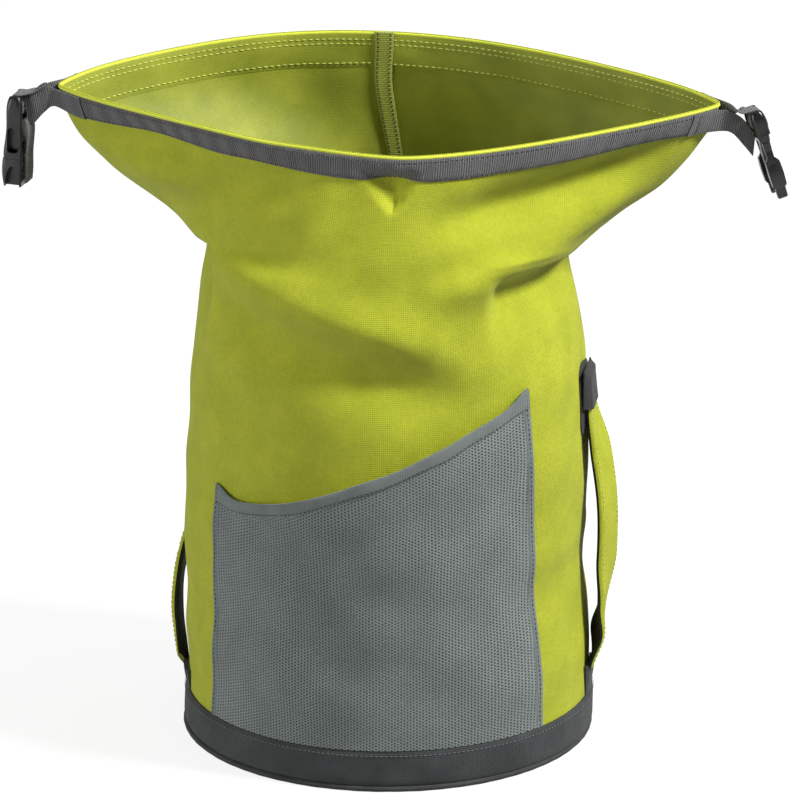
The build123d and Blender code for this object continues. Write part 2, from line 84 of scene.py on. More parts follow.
cloth_radius = 141.0         # of the round lower bag, to turn widths into angles
canvas_thick = 1.1
webbing_width = 16.0
webbing_thick = 1.5
rib_pitch = 1.9              # ribs across the webbing
thread_proud = 0.25          # how far the middle of a stitch stands off the cloth
webbing_drop = 2.7           # from the lip of the mouth down to the webbing in front
back_webbing_drop = 0.3


# ---------------------------------------------------------------- small tools
def smoothstep(x):
    x = np.clip(x, 0.0, 1.0)
    return x * x * (3 - 2 * x)


def bell(x, width):
    """A smooth bump of height 1 at zero."""
    return np.exp(-0.5 * (np.asarray(x) / width) ** 2)


def curve(points, blur):
    """A smooth function through a few (place, value) points, its corners blurred by a distance."""
    places, values = np.array(sorted(points), float).T
    fine = np.arange(places[0] - 4 * blur, places[-1] + 4 * blur, 1.0)
    spread = np.arange(-round(3 * blur), round(3 * blur) + 1)
    kernel = bell(spread, blur)
    padded = np.pad(np.interp(fine, places, values), len(spread) // 2, mode="edge")
    smooth = np.convolve(padded, kernel / kernel.sum(), "valid")
    return lambda place: np.interp(place, fine, smooth)


def spline(points, count):
    """A smooth line through points (Catmull-Rom), as evenly spaced points."""
    points = np.array(points, float)
    ends = np.vstack([2 * points[0] - points[1], points, 2 * points[-1] - points[-2]])
    pieces = []
    for before, start, end, after in zip(ends, ends[1:], ends[2:], ends[3:]):
        t = np.linspace(0, 1, 24, endpoint=False)[:, None]
        pieces.append(0.5 * (
            2 * start + (end - before) * t + (2 * before - 5 * start + 4 * end - after) * t ** 2
            + (3 * start - before - 3 * end + after) * t ** 3))
    line = np.vstack([*pieces, points[-1:]])
    run = distance_along(line)
    even = np.linspace(0, run[-1], count)
    return np.stack([np.interp(even, run, line[:, axis]) for axis in range(line.shape[1])], -1)


def distance_along(line):
    steps = np.linalg.norm(np.diff(line, axis=0), axis=1)
    return np.concatenate([[0], np.cumsum(steps)])


def unit(vectors):
    return vectors / np.maximum(np.linalg.norm(vectors, axis=-1, keepdims=True), 1e-9)


def ripple(a, b, seed, size, count=7):
    """Soft seeded unevenness over two coordinates in millimetres, about -1 to 1."""
    draw = np.random.default_rng(seed)
    total = 0
    for _ in range(count):
        turn, phase = draw.uniform(0, 2 * pi, 2)
        wave = size * draw.uniform(0.6, 1.7)
        total = total + np.sin(2 * pi * (a * cos(turn) + b * sin(turn)) / wave + phase)
    return total / count ** 0.5 / 1.4


def full_turn(count):
    """Even directions round a full turn."""
    return np.arange(count) * 2 * pi / count


def cloth_uv(along, across):
    """Places on a cloth from two coordinates that broadcast together."""
    return np.stack(np.broadcast_arrays(along, across), -1)


# ---------------------------------------------------------------- meshes
def make_object(name, points, quads, uv, kinds, materials):
    """A smooth mesh object from points in millimetres, quads, a place on the cloth for each point
    and the material number of each face."""
    mesh = bpy.data.meshes.new(name)
    mesh.from_pydata((np.asarray(points, float) * MM).tolist(), [], np.asarray(quads).tolist())
    layer = mesh.uv_layers.new(name="cloth")
    corner = np.zeros(len(mesh.loops), np.int32)
    mesh.loops.foreach_get("vertex_index", corner)
    layer.data.foreach_set("uv", (np.asarray(uv, float) * MM)[corner].astype(np.float32).ravel())
    mesh.polygons.foreach_set("material_index", np.asarray(kinds, np.int32))
    for material in materials:
        mesh.materials.append(material)
    work = bmesh.new()
    work.from_mesh(mesh)
    bmesh.ops.recalc_face_normals(work, faces=work.faces)
    for edge in work.edges:
        if len(edge.link_faces) == 2 and edge.calc_face_angle(0) > radians(55):
            edge.smooth = False
    work.to_mesh(mesh)
    work.free()
    mesh.polygons.foreach_set("use_smooth", np.ones(len(mesh.polygons), bool))
    obj = bpy.data.objects.new(name, mesh)
    scene.collection.objects.link(obj)
    return obj


def grid_faces(rows, columns, wrap_rows, wrap_columns):
    """Quads between neighbouring points of a grid, closed round in either direction."""
    index = np.arange(rows * columns).reshape(rows, columns)
    if wrap_rows:
        index = np.vstack([index, index[:1]])
    if wrap_columns:
        index = np.hstack([index, index[:, :1]])
    return np.stack([index[:-1, :-1], index[:-1, 1:], index[1:, 1:], index[1:, :-1]], -1).reshape(-1, 4)


def loops_object(name, loops, uv, materials, closed=False, kinds=None):
    """A solid from closed section loops (sections, points, 3) one after another, with flat ends
    unless it closes on itself.  A loop's second half runs back under its first half."""
    sections, around = loops.shape[:2]
    quads = grid_faces(sections, around, closed, True)
    kind = np.zeros(len(quads), int) if kinds is None else np.tile(kinds, sections - (not closed))
    if not closed:
        half = around // 2
        step = np.arange(half - 1)
        cap = np.stack([step, step + 1, around - 2 - step, around - 1 - step], -1)
        quads = np.vstack([quads, cap, cap + (sections - 1) * around])
        kind = np.concatenate([kind, np.zeros(2 * len(cap), int)])
    return make_object(name, loops.reshape(-1, 3), quads, uv.reshape(-1, 2), kind, materials)


def slab(name, base, normal, low, high, uv, materials, closed=False, under=0):
    """A layer of cloth over a grid of points on a surface, between two distances off it."""
    rows, columns = base.shape[:2]
    low = np.broadcast_to(low, (rows, columns))[..., None]
    high = np.broadcast_to(high, (rows, columns))[..., None]
    loops = np.concatenate([base + normal * high, (base + normal * low)[:, ::-1]], axis=1)
    loop_uv = np.concatenate([uv, uv[:, ::-1]], axis=1)
    kinds = np.zeros(2 * columns, int)
    kinds[columns:-1] = under
    return loops_object(name, loops, loop_uv, materials, closed, kinds)


def stand_in(obj, *nodes, body="bag"):
    """Puts a piece in the place of CAD nodes and lets it ride on a body."""
    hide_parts(*nodes)
    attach(obj, body)


def rounded(count, edge, amount):
    """Height factors across a strip that fall away at its two edges."""
    place = np.linspace(0, 1, count)
    from_edge = np.minimum(place, 1 - place) * (count - 1)
    return 1 - amount * np.exp(-from_edge / edge)


def stitches(name, places, normals, material, pitch, length, thick=0.7, body="bag"):
    """A row of thread stitches along a line of surface points, one small capsule each, which rides
    on a body unless that is None."""
    run = distance_along(places)
    count = max(int(run[-1] / pitch), 1)
    middles = (np.arange(count) + 0.5) * run[-1] / count
    sample = lambda at, values: np.stack([np.interp(at, run, values[:, k]) for k in range(3)], -1)
    start = sample(middles - length / 2, places)
    end = sample(middles + length / 2, places)
    up = unit(sample(middles, normals))
    along = unit(end - start)
    across = np.cross(up, along)
    rings, sides = 7, 6
    t = np.linspace(-1, 1, rings)
    girth = np.sqrt(np.maximum(1 - np.abs(t) ** 2.6, 0.01)) * thick / 2
    angle = full_turn(sides)
    middle = (start + end) / 2 + up * (thread_proud - thick * 0.2)
    points = (
        middle[:, None, None] + along[:, None, None] * (t * length / 2)[None, :, None, None]
        + across[:, None, None] * (girth[:, None] * np.cos(angle))[None, ..., None]
        + up[:, None, None] * (girth[:, None] * np.sin(angle) * 0.8)[None, ..., None]
        + up[:, None, None] * (0.12 * (1 - t ** 2))[None, :, None, None])
    one = grid_faces(rings, sides, False, True)
    ends = np.array([[0, 1, 2, 5], [2, 3, 4, 5]])
    one = np.vstack([one, ends, ends + (rings - 1) * sides])
    quads = (one[None] + (np.arange(count) * rings * sides)[:, None, None]).reshape(-1, 4)
    flat = points.reshape(-1, 3)
    row = make_object(name, flat, quads, flat[:, :2], np.zeros(len(quads), int), [material])
    if body:
        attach(row, body)
    return row


# ---------------------------------------------------------------- materials
def srgb(red, green, blue):
    """Linear colour of a screen colour given as three numbers up to 255."""
    return tuple(
        (c / 255 / 12.92) if c < 10.3 else ((c / 255 + 0.055) / 1.055) ** 2.4
        for c in (red, green, blue)) + (1.0,)


class Nodes:
    """A new material's node tree, with short calls for the nodes that the finishes use."""

    def __init__(self, name):
        self.material = bpy.data.materials.new(name)
        self.material.use_nodes = True
        self.tree = self.material.node_tree
        self.shader = self.tree.nodes["Principled BSDF"]

    def put(self, socket, value):
        if isinstance(value, bpy.types.NodeSocket):
            self.tree.links.new(value, socket)
        elif value is not None:
            socket.default_value = value

    def math(self, operation, a, b=None):
        node = self.tree.nodes.new("ShaderNodeMath")
        node.operation = operation
        self.put(node.inputs[0], a)
        self.put(node.inputs[1], b)
        return node.outputs[0]

    def plus(self, a, b):
        return self.math("ADD", a, b)

    def times(self, a, b):
        return self.math("MULTIPLY", a, b)

    def wave(self, value, turn):
        """The sine of a value times a turn."""
        return self.math("SINE", self.times(value, turn))

    def cloth(self):
        """The two coordinates along the cloth, in metres."""
        node = self.tree.nodes.new("ShaderNodeUVMap")
        node.uv_map = "cloth"
        split = self.tree.nodes.new("ShaderNodeSeparateXYZ")
        self.tree.links.new(node.outputs[0], split.inputs[0])
        return split.outputs[0], split.outputs[1]

    def noise(self, size, detail=3.0):
        """Even noise over the object's own coordinates, with a grain size in metres."""
        place = self.tree.nodes.new("ShaderNodeTexCoord")
        node = self.tree.nodes.new("ShaderNodeTexNoise")
        node.inputs["Scale"].default_value = 1 / size
        node.inputs["Detail"].default_value = detail
        self.tree.links.new(place.outputs["Object"], node.inputs["Vector"])
        return node.outputs["Fac"]

    def ramp(self, value, low, high, start=0.0, end=1.0):
        """The value's stretch from low to high, turned into start to end."""
        node = self.tree.nodes.new("ShaderNodeMapRange")
        for socket, number in zip(node.inputs, (value, low, high, start, end)):
            self.put(socket, number)
        return node.outputs[0]

    def blend(self, share, a, b):
        node = self.tree.nodes.new("ShaderNodeMix")
        node.data_type = "RGBA"
        self.put(node.inputs["Factor"], share)
        self.put(node.inputs["A"], a)
        self.put(node.inputs["B"], b)
        return node.outputs["Result"]

    def bump(self, height, distance):
        node = self.tree.nodes.new("ShaderNodeBump")
        node.inputs["Strength"].default_value = 1.0
        node.inputs["Distance"].default_value = distance
        self.put(node.inputs["Height"], height)
        self.put(self.shader.inputs["Normal"], node.outputs[0])

    def finish(self, color, roughness, sheen=0.0, specular=0.3):
        self.put(self.shader.inputs["Base Color"], color)
        self.put(self.shader.inputs["Roughness"], roughness)
        self.shader.inputs["Specular IOR Level"].default_value = specular
        self.shader.inputs["Sheen Weight"].default_value = sheen
        self.shader.inputs["Sheen Roughness"].default_value = 0.5
        return self.material


def plain_weave(nodes, pitch):
    """Height of a plain weave on the cloth's coordinates: threads pass over and under by turns."""
    along, across = nodes.cloth()
    turn = 2 * pi / pitch
    warp = nodes.wave(along, turn / 2)
    weft = nodes.wave(across, turn / 2)
    over = nodes.times(warp, weft)
    warp_round = nodes.math("ABSOLUTE", warp)
    weft_round = nodes.math("ABSOLUTE", weft)
    sign = nodes.ramp(over, -0.25, 0.25)
    under = nodes.math("SUBTRACT", 1.0, sign)
    warp_part = nodes.times(warp_round, sign)
    weft_part = nodes.times(weft_round, under)
    return nodes.plus(warp_part, weft_part)


def woven(name, light, mid, dark, pitch, depth, roughness=0.8, sheen=0.25, mottle=0.02, gap_shade=0.55):
    """Plain woven cloth: thread relief, painted shade in the gaps between threads, and uneven tone."""
    nodes = Nodes(name)
    weave = plain_weave(nodes, pitch)
    slub = nodes.noise(pitch * 2.2, 2.0)
    patchy = nodes.noise(mottle, 4.0)
    height = nodes.plus(weave, nodes.times(slub, 0.9))
    tone = nodes.blend(nodes.ramp(patchy, 0.3, 0.7), mid, light)
    # painted shade: the colour darkens towards the dark colour where the weave is low, in the gaps
    # between threads
    gap = nodes.ramp(nodes.plus(weave, nodes.times(slub, 0.8)), 0.45, 1.15, gap_shade, 0.0)
    color = nodes.blend(gap, tone, dark)
    nodes.bump(height, depth)
    rough = nodes.ramp(slub, 0.3, 0.7, roughness - 0.07, roughness + 0.07)
    return nodes.finish(color, rough, sheen)


def ribbed(name, light, dark, pitch, depth):
    """Webbing: fine ribs across its length, each broken into threads, with painted shade in the
    grooves.
    """
    nodes = Nodes(name)
    along, across = nodes.cloth()
    rib = nodes.math("ABSOLUTE", nodes.wave(along, pi / pitch))
    thread = nodes.math("ABSOLUTE", nodes.wave(across, pi / (pitch * 0.55)))
    fuzz = nodes.noise(pitch * 1.3, 3.0)
    height = nodes.plus(rib, nodes.times(thread, 0.35))
    height = nodes.plus(height, nodes.times(fuzz, 0.5))
    # painted shade: the colour runs from dark in the grooves to light on the rib tops, with some random
    # tone from the fuzz
    painted_groove_shade = nodes.ramp(height, 0.35, 1.25)
    nodes.bump(height, depth)
    return nodes.finish(nodes.blend(painted_groove_shade, dark, light), 0.72, 0.2, 0.3)


def perforated(name, light, mid, hole_shade):
    """Knitted mesh: staggered small holes in a grey cloth, painted dark for the shade in its deep
    cells.
    """
    nodes = Nodes(name)
    along, across = nodes.cloth()
    column_pitch, hole_pitch = 0.0042, 0.0022
    columns = nodes.math("DIVIDE", along, column_pitch)
    rows = nodes.math("DIVIDE", across, hole_pitch)

    def dots(shift):
        x = nodes.math("SUBTRACT", nodes.math("FRACT", nodes.plus(columns, shift)), 0.5)
        y = nodes.math("SUBTRACT", nodes.math("FRACT", nodes.plus(rows, shift)), 0.5)
        x = nodes.times(x, column_pitch / hole_pitch)
        x = nodes.times(x, x)
        y = nodes.times(y, y)
        return nodes.math("SQRT", nodes.plus(x, y))

    nearest = nodes.math("MINIMUM", dots(0.0), dots(0.5))
    # painted shade: each hole takes the dark colour of the shade inside the mesh's deep cells
    opening = nodes.ramp(nearest, 0.17, 0.36, 1.0, 0.0)
    yarn = nodes.noise(0.0011, 2.0)
    patchy = nodes.noise(0.03, 3.0)
    cloth = nodes.blend(nodes.ramp(patchy, 0.3, 0.7), mid, light)
    cloth = nodes.blend(nodes.ramp(yarn, 0.42, 0.7, 0.0, 0.3), cloth, hole_shade)
    height = nodes.math("SUBTRACT", nodes.times(yarn, 0.5), opening)
    nodes.bump(height, 0.0005)
    return nodes.finish(nodes.blend(opening, cloth, hole_shade), 0.85, 0.25)


def coated(name, light, dark):
    """Smooth coated backing: faint weave, soft blotches and a slight shine."""
    nodes = Nodes(name)
    weave = plain_weave(nodes, 0.0012)
    patchy = nodes.noise(0.045, 4.0)
    fine = nodes.noise(0.004, 3.0)
    height = nodes.plus(nodes.times(weave, 0.25), nodes.times(patchy, 2.0))
    nodes.bump(height, 0.0004)
    rough = nodes.ramp(fine, 0.3, 0.7, 0.48, 0.64)
    return nodes.finish(nodes.blend(nodes.ramp(patchy, 0.35, 0.65), dark, light), rough, 0.05, 0.35)


def moulded(name, light, dark):
    """Moulded plastic: satin, with faint grain and paler worn patches."""
    nodes = Nodes(name)
    grain = nodes.noise(0.0006, 2.0)
    wear = nodes.noise(0.009, 4.0)
    nodes.bump(grain, 0.00006)
    rough = nodes.ramp(wear, 0.3, 0.75, 0.2, 0.4)
    return nodes.finish(nodes.blend(nodes.ramp(wear, 0.5, 0.8), dark, light), rough, 0.0, 0.5)


def spongy(name, light, dark):
    """Pressed board: fine open grain."""
    nodes = Nodes(name)
    grain = nodes.noise(0.0012, 4.0)
    nodes.bump(grain, 0.0002)
    return nodes.finish(nodes.blend(nodes.ramp(grain, 0.3, 0.7), dark, light), 0.9)


LIME = woven(
    "canvas_lime", srgb(186, 193, 46), srgb(172, 180, 38), srgb(94, 100, 12),
    0.00135, 0.00022, 0.85, 0.03)
# the rolled edge: the lime canvas painted lighter, a painted highlight where the lip of the mouth
# catches the light from above
LIME_EDGE_LIT = woven(
    "canvas_edge_lit", srgb(232, 240, 78), srgb(222, 232, 66), srgb(170, 178, 36),
    0.0010, 0.0001, 0.6)
INSIDE = coated("canvas_coating", srgb(156, 163, 50), srgb(134, 142, 40))
TAPE = ribbed("seam_tape_cloth", srgb(168, 176, 72), srgb(126, 133, 48), 0.0014, 0.0002)
DARK = woven(
    "canvas_dark", srgb(70, 72, 73), srgb(54, 56, 57), srgb(22, 23, 24),
    0.0013, 0.0003, 0.8, 0.05)
PATCH = woven(
    "patch_cloth", srgb(66, 65, 67), srgb(52, 52, 54), srgb(22, 22, 24),
    0.0011, 0.00025, 0.75, 0.05)
WEBBING = ribbed("webbing_cloth", srgb(104, 103, 104), srgb(34, 34, 36), 0.0017, 0.0004)
# its third colour is the painted shade inside the mesh holes
MESH = perforated("pocket_cloth", srgb(132, 141, 138), srgb(120, 129, 126), srgb(52, 58, 57))
HEM = woven(
    "pocket_hem_cloth", srgb(122, 131, 128), srgb(108, 117, 114), srgb(60, 66, 64), 0.0011, 0.0003)
UNDERSIDE = woven(
    "handle_underside", srgb(26, 27, 28), srgb(17, 18, 19), srgb(6, 6, 7),
    0.0013, 0.0002, 0.8, 0.02)
PLASTIC = moulded("buckle_plastic_satin", srgb(30, 30, 32), srgb(13, 13, 14))
BOARD = spongy("stiffener_grain", srgb(150, 150, 146), srgb(110, 110, 106))
THREAD_LIME = ribbed("thread_lime", srgb(222, 228, 120), srgb(160, 168, 66), 0.0006, 0.0001)
THREAD_DARK = ribbed("thread_dark", srgb(60, 62, 62), srgb(24, 25, 26), 0.0006, 0.0001)
THREAD_PALE = ribbed("thread_pale", srgb(112, 115, 115), srgb(70, 73, 73), 0.0006, 0.0001)


# ---------------------------------------------------------------- canvas surface
COLUMNS = 336                # points round the bag, front half first, from its left side
half_columns = COLUMNS // 2

# half width to the left and to the right of the axis against height
left_width = curve([
    (0, 142.0), (53, 139.8), (78, 142.0), (108, 139.3), (139, 142.4), (227, 139.3), (278, 136.7),
    (330, 133.0), (shoulder + 9, 130.5), (372, 147.0), (401, 189.5), (425, 216.5), (440, 225.0),
    (462, 231.8),
], 4.0)
right_width = curve([
    (0, 143.0), (64, 142.8), (98, 140.8), (121, 137.2), (136, 136.4), (152, 139.2), (214, 140.1),
    (274, 137.9), (330, 132.5), (shoulder + 7, 130.5), (372, 150.5), (402, 190.0), (428, 214.5),
    (444, 226.0), (462, 231.8),
], 4.0)
front_depth = curve([
    (0, 142.0), (64, 142.4), (121, 140.6), (227, 138.2), (316, 134.0), (shoulder, 131.0), (385, 127.0),
    (415, 119.5), (440, 114.5), (462, 112.5),
], 8.0)
back_depth = curve([
    (0, 142.0), (64, 142.4), (121, 140.4), (227, 138.4), (316, 134.2), (shoulder, 131.6), (402, 126.0),
    (430, 121.0), (462, 117.5),
], 8.0)
front_apex = 20.0            # the mouth's deepest places stand a little off the middle
back_apex = -20.0
lens_top = shoulder + 95.0
neck = float(left_width(shoulder) + right_width(shoulder)) / 2
# how full the mouth's outline is: power at its middle and what it gains towards the corners
fullness = {(-1, -1): (1.56, 0.6), (-1, 1): (1.47, 0.5), (1, -1): (2.3, 1.6), (1, 1): (1.9, 1.1)}

levels = np.concatenate([
    np.linspace(body_bottom, 300, 66, endpoint=False),
    np.linspace(300, 385, 46, endpoint=False),
    np.linspace(385, rim_z, 42)])
ROWS = len(levels)


def half_outline(level, side):
    """Half of the bag's outline at a level: the front, side -1, left to right, or the back."""
    left, right = float(left_width(level)), float(right_width(level))
    lens = float(smoothstep((level - shoulder) / (lens_top - shoulder)))
    depth = float(front_depth(level) if side < 0 else back_depth(level))
    apex = lens * (front_apex if side < 0 else back_apex)
    x = (right - left) / 2 - (right + left) / 2 * np.cos(np.linspace(0, pi, 700))
    beyond = x > apex
    u = np.clip(np.abs(x - apex) / np.where(beyond, right - apex, left + apex), 0, 1)
    middle = np.where(beyond, fullness[side, 1][0], fullness[side, -1][0])
    gain = np.where(beyond, fullness[side, 1][1], fullness[side, -1][1])
    power = 2 + lens * (middle + gain * u ** 7 - 2)
    widened = max((left + right) / 2 - neck, 0.0) if level > shoulder else 0.0
    y = side * depth * (1 - u ** power) ** (1 / (1 + exp(-widened / 12)))
    line = np.stack([x, y], -1)
    if side > 0:
        line = line[::-1]
    run = distance_along(line)
    even = np.linspace(0, run[-1], half_columns, endpoint=False)
    return np.stack([np.interp(even, run, line[:, 0]), np.interp(even, run, line[:, 1])], -1)


def round_off(ring, amount):
    """Softens a closed ring of points by a number of columns."""
    spread = np.arange(-5, 6)
    weight = bell(spread, amount)
    return sum(np.roll(ring, k, axis=0) * w for k, w in zip(spread, weight / weight.sum()))


def plain_canvas():
    rings = []
    for level in levels:
        ring = round_off(np.vstack([half_outline(level, -1), half_outline(level, 1)]), 1.15)
        tilt = rim_tilt * float(smoothstep((level - shoulder) / (rim_z - shoulder)))
        rings.append(np.column_stack([ring, level + ring[:, 1] * tan(tilt)]))
    return np.array(rings)


def surface_normals(points):
    around = np.roll(points, -1, axis=1) - np.roll(points, 1, axis=1)
    upward = np.gradient(points, axis=0)
    return unit(np.cross(around, upward))


def dimple(angle, level, start, end, crest, depth):
    """A pinched hollow under one shoulder: a crisp lip at the crest height that ends in a nose."""
    share = (angle - start) / (end - start)
    along = smoothstep(share / 0.45) * (1 - smoothstep((share - 0.86) / 0.2)) + 0.25 * bell(share, 0.2)
    below = np.maximum(crest - level, 0)
    hollow = (below / 14) * np.exp(1 - below / 14)
    lip = bell(level - crest - 6, 6.5)
    return along * (-depth * hollow + 0.22 * depth * lip)


def folds(points, level):
    """How far the canvas stands out from its plain shape, where it creases and sags."""
    x, y = points[..., 0], points[..., 1]
    angle = np.degrees(np.arctan2(y, x))
    front = smoothstep((-y - 10) / 40)
    drop = rim_z - level
    out = dimple(angle, level, 2, -52, shoulder + 11, 14.0)
    out = out + dimple(angle, level, 2, 40, shoulder + 11, 8.0)
    left = np.mod(angle, 360)
    out = out + dimple(left, level, 179, 208, shoulder + 15, 10.0)
    out = out + dimple(left, level, 179, 142, shoulder + 12, 8.0)
    # valley under the webbing on the right, and the ridges along the flare's lower edges
    rightward = smoothstep((x - 25) / 60) * front
    out = out - 15.0 * rightward * bell(drop - 48 + 0.14 * (x - 85), 12.0)
    out = out + 9.0 * rightward * bell(drop - 83 + 0.36 * (x - 111), 12.0)
    leftward = smoothstep((-x - 30) / 70) * front
    sag = smoothstep((drop - 1) / 17) * (1 - smoothstep((drop - 24) / 30))
    out = out - 7.0 * smoothstep((-x - 45) / 50) * front * sag
    out = out + 4.5 * leftward * bell(drop - 40 + 0.42 * (x + 150), 12.0)
    out = out - 4.0 * leftward * bell(drop - 72 + 0.42 * (x + 150), 12.0)
    # pinch in the middle of the front, just under the webbing
    pinch = np.maximum(1 - np.abs(x - 15) / (3 + 0.9 * np.maximum(42 - drop, 0)), 0)
    out = out - (
        10.0 * front * smoothstep(pinch) * smoothstep((46 - drop) / 14) * smoothstep((drop - 8) / 10))
    # one long soft fold from the left shoulder down across the front
    across = (level - 338) + 0.27 * (x + 90)
    out = out + 8.0 * front * smoothstep((x + 125) / 40) * smoothstep((75 - x) / 60) * (
        bell(across - 16, 13.0) - 1.1 * bell(across + 14, 15.0))
    waist = smoothstep((level - 25) / 50) * smoothstep((shoulder - 10 - level) / 60)
    run = np.radians(left) * 140
    out = out + 1.5 * waist * ripple(run, level, 3, 110.0)
    out = out + 0.5 * waist * ripple(run, level, 5, 42.0)
    collar = smoothstep((level - shoulder) / 30) * smoothstep(drop / 30)
    out = out + 1.5 * collar * ripple(run, level, 8, 70.0)
    return out


canvas = plain_canvas()
canvas = canvas + surface_normals(canvas) * folds(canvas, levels[:, None])[..., None]
canvas_normal = surface_normals(canvas)
column_run = np.concatenate([[0], np.cumsum(np.linalg.norm(
    np.roll(canvas[-1], -1, axis=0) - canvas[-1], axis=1))])


def sample_grid(grid, rows, columns):
    """Values of a ring-shaped grid at fractional rows and columns."""
    rows = np.clip(rows, 0, grid.shape[0] - 1.001)
    columns = np.mod(columns, grid.shape[1])
    row, column = rows.astype(int), columns.astype(int)
    a, b = rows - row, columns - column
    if grid.ndim == 3:
        a, b = a[..., None], b[..., None]
    right = (column + 1) % grid.shape[1]
    low = grid[row, column] * (1 - b) + grid[row, right] * b
    high = grid[row + 1, column] * (1 - b) + grid[row + 1, right] * b
    return low * (1 - a) + high * a


def skin(rows, columns):
    """Points and outward normals of the canvas."""
    rows, columns = np.broadcast_arrays(np.asarray(rows, float), np.asarray(columns, float))
    return sample_grid(canvas, rows, columns), unit(sample_grid(canvas_normal, rows, columns))


drop_step = 0.5
column_drop = np.vstack([np.zeros(COLUMNS), np.cumsum(
    np.linalg.norm(np.diff(canvas[::-1], axis=0), axis=2), axis=0)])
drop_rows = np.array([
    np.interp(np.arange(0, 60, drop_step), column_drop[:, k], np.arange(ROWS - 1, -1, -1.0))
    for k in range(COLUMNS)]).T


def below_rim(columns, drop):
    """Points and normals of the canvas a distance below the lip of the mouth."""
    columns, drop = np.broadcast_arrays(np.asarray(columns, float), np.asarray(drop, float))
    return skin(sample_grid(drop_rows, drop / drop_step, columns), columns)


def at_angle(angle, height):
    """Points and normals of the round lower bag at directions in degrees from +X."""
    angle, height = np.broadcast_arrays(np.asarray(angle, float), np.asarray(height, float))
    rows = np.interp(height, levels, np.arange(ROWS))
    columns = (angle + 180) / 360 * COLUMNS
    for _ in range(4):
        point, _ = skin(rows, columns)
        found = np.degrees(np.arctan2(point[..., 1], point[..., 0]))
        columns = columns + ((angle - found + 180) % 360 - 180) / 360 * COLUMNS
    return skin(rows, columns)


# ---------------------------------------------------------------- bag body and mouth
def bag_canvas():
    base = canvas.transpose(1, 0, 2)
    normal = canvas_normal.transpose(1, 0, 2)
    run = np.arange(COLUMNS + 1) / COLUMNS * 2 * pi * body_radius
    height = np.concatenate([[0], np.cumsum(np.linalg.norm(np.diff(canvas, axis=0), axis=2).mean(1))])
    uv = cloth_uv(run[:COLUMNS, None], height[None])
    obj = slab(
        "bag_canvas", base, normal, -canvas_thick, 0.0, uv, [LIME, INSIDE],
        closed=True, under=1)
    mend_seam(obj, 2 * pi * body_radius)
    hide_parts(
        "body_front_panel", "body_back_panel", "collar_front_panel", "collar_back_panel")
    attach(obj, "bag")


def mend_seam(obj, girth):
    """Lets the cloth's coordinates run on over the last gap of a closed ring, not back to zero."""
    layer = obj.data.uv_layers["cloth"].data
    uv = np.zeros(len(layer) * 2, np.float32)
    layer.foreach_get("uv", uv)
    uv = uv.reshape(-1, 2)
    starts = np.zeros(len(obj.data.polygons), np.int32)
    obj.data.polygons.foreach_get("loop_start", starts)
    along = uv[starts[:, None] + np.arange(4), 0]
    wide = along.max(1) - along.min(1) > girth * MM / 2
    along[wide] = np.where(along[wide] < girth * MM / 2, along[wide] + girth * MM, along[wide])
    uv[starts[:, None] + np.arange(4), 0] = along
    layer.foreach_set("uv", uv.ravel())


edge_drop = 1.7              # middle of the rolled edge below the lip
edge_half_thick = 1.15
edge_half_tall = 1.5
hem_rows = (6.0, 9.5, 24.0)  # stitch rows of the hem inside the mouth, below the lip
layer_contact = 0.05         # how closely two sewn layers lie


def rim_parts():
    """The rolled edge, the hem inside it and the rows of stitching."""
    columns = np.arange(COLUMNS)
    rim, normal = below_rim(columns, np.full(COLUMNS, edge_drop))
    upward = unit(canvas[-1] - canvas[-3])
    angle = full_turn(12)
    centre = rim - normal * canvas_thick / 2
    loops = centre[:, None] + normal[:, None] * (edge_half_thick * np.cos(angle))[None, :, None]
    loops = loops + upward[:, None] * (edge_half_tall * np.sin(angle))[None, :, None]
    uv = cloth_uv(column_run[:COLUMNS, None], angle[None] * 2)
    edge = loops_object("rim_rolled_edge", loops, uv, [LIME_EDGE_LIT], closed=True)
    mend_seam(edge, column_run[-1])
    stand_in(edge, "rim_edge")
    drops = np.linspace(2.0, 27.0, 14)
    base, normal = below_rim(columns[:, None], drops[None])
    ease = 0.25 * ripple(column_run[:COLUMNS, None], drops[None], 21, 30.0)
    uv = cloth_uv(column_run[:COLUMNS, None], drops[None])
    hem = slab(
        "rim_inner_hem", base, normal, -canvas_thick - 0.35 - (0.75 + ease) * rounded(14, 1.6, 0.95),
        -canvas_thick - layer_contact, uv, [INSIDE], closed=True)
    mend_seam(hem, column_run[-1])
    stand_in(hem, "rim_hem")
    fine = np.linspace(1, COLUMNS - 1, 4 * COLUMNS)
    for number, drop in enumerate(hem_rows):
        places, normals = below_rim(fine, np.full(len(fine), drop))
        stitches(
            f"hem_stitches_{number + 1}", places - normals * (canvas_thick + 1.05), -normals,
            THREAD_LIME, pitch=4.6, length=3.2, thick=0.75)


def sewn_webbing(name, first, last, drop, node):
    """Half of the webbing round the mouth, with its ribs as real relief."""
    length = column_run[-1] / 2
    sections = int(length / rib_pitch * 5)
    columns = np.linspace(first, last, sections)
    drops = np.linspace(drop, drop + webbing_width, 9)
    base, normal = below_rim(columns[:, None], drops[None])
    along = np.linspace(0, length, sections)[:, None]
    relief = 0.16 * np.cos(2 * pi * along / rib_pitch)
    relief = relief + 0.25 * ripple(along, drops[None], 31, 60.0)
    edge = rounded(9, 0.55, 0.55)[None]
    uv = cloth_uv(along, drops[None])
    obj = slab(
        name, base, normal, 0.02, (0.25 + webbing_thick + relief) * edge, uv, [WEBBING])
    stand_in(obj, node)
    fine = np.linspace(first + 1, last - 1, 1400)
    for number, row_drop in enumerate((drop + 1.8, drop + webbing_width - 1.8)):
        places, normals = below_rim(fine, np.full(len(fine), row_drop))
        stitches(
            f"{name}_stitches_{number + 1}", places + normals * (webbing_thick + 0.1), normals,
            THREAD_DARK, pitch=3.6, length=2.4, thick=0.6)


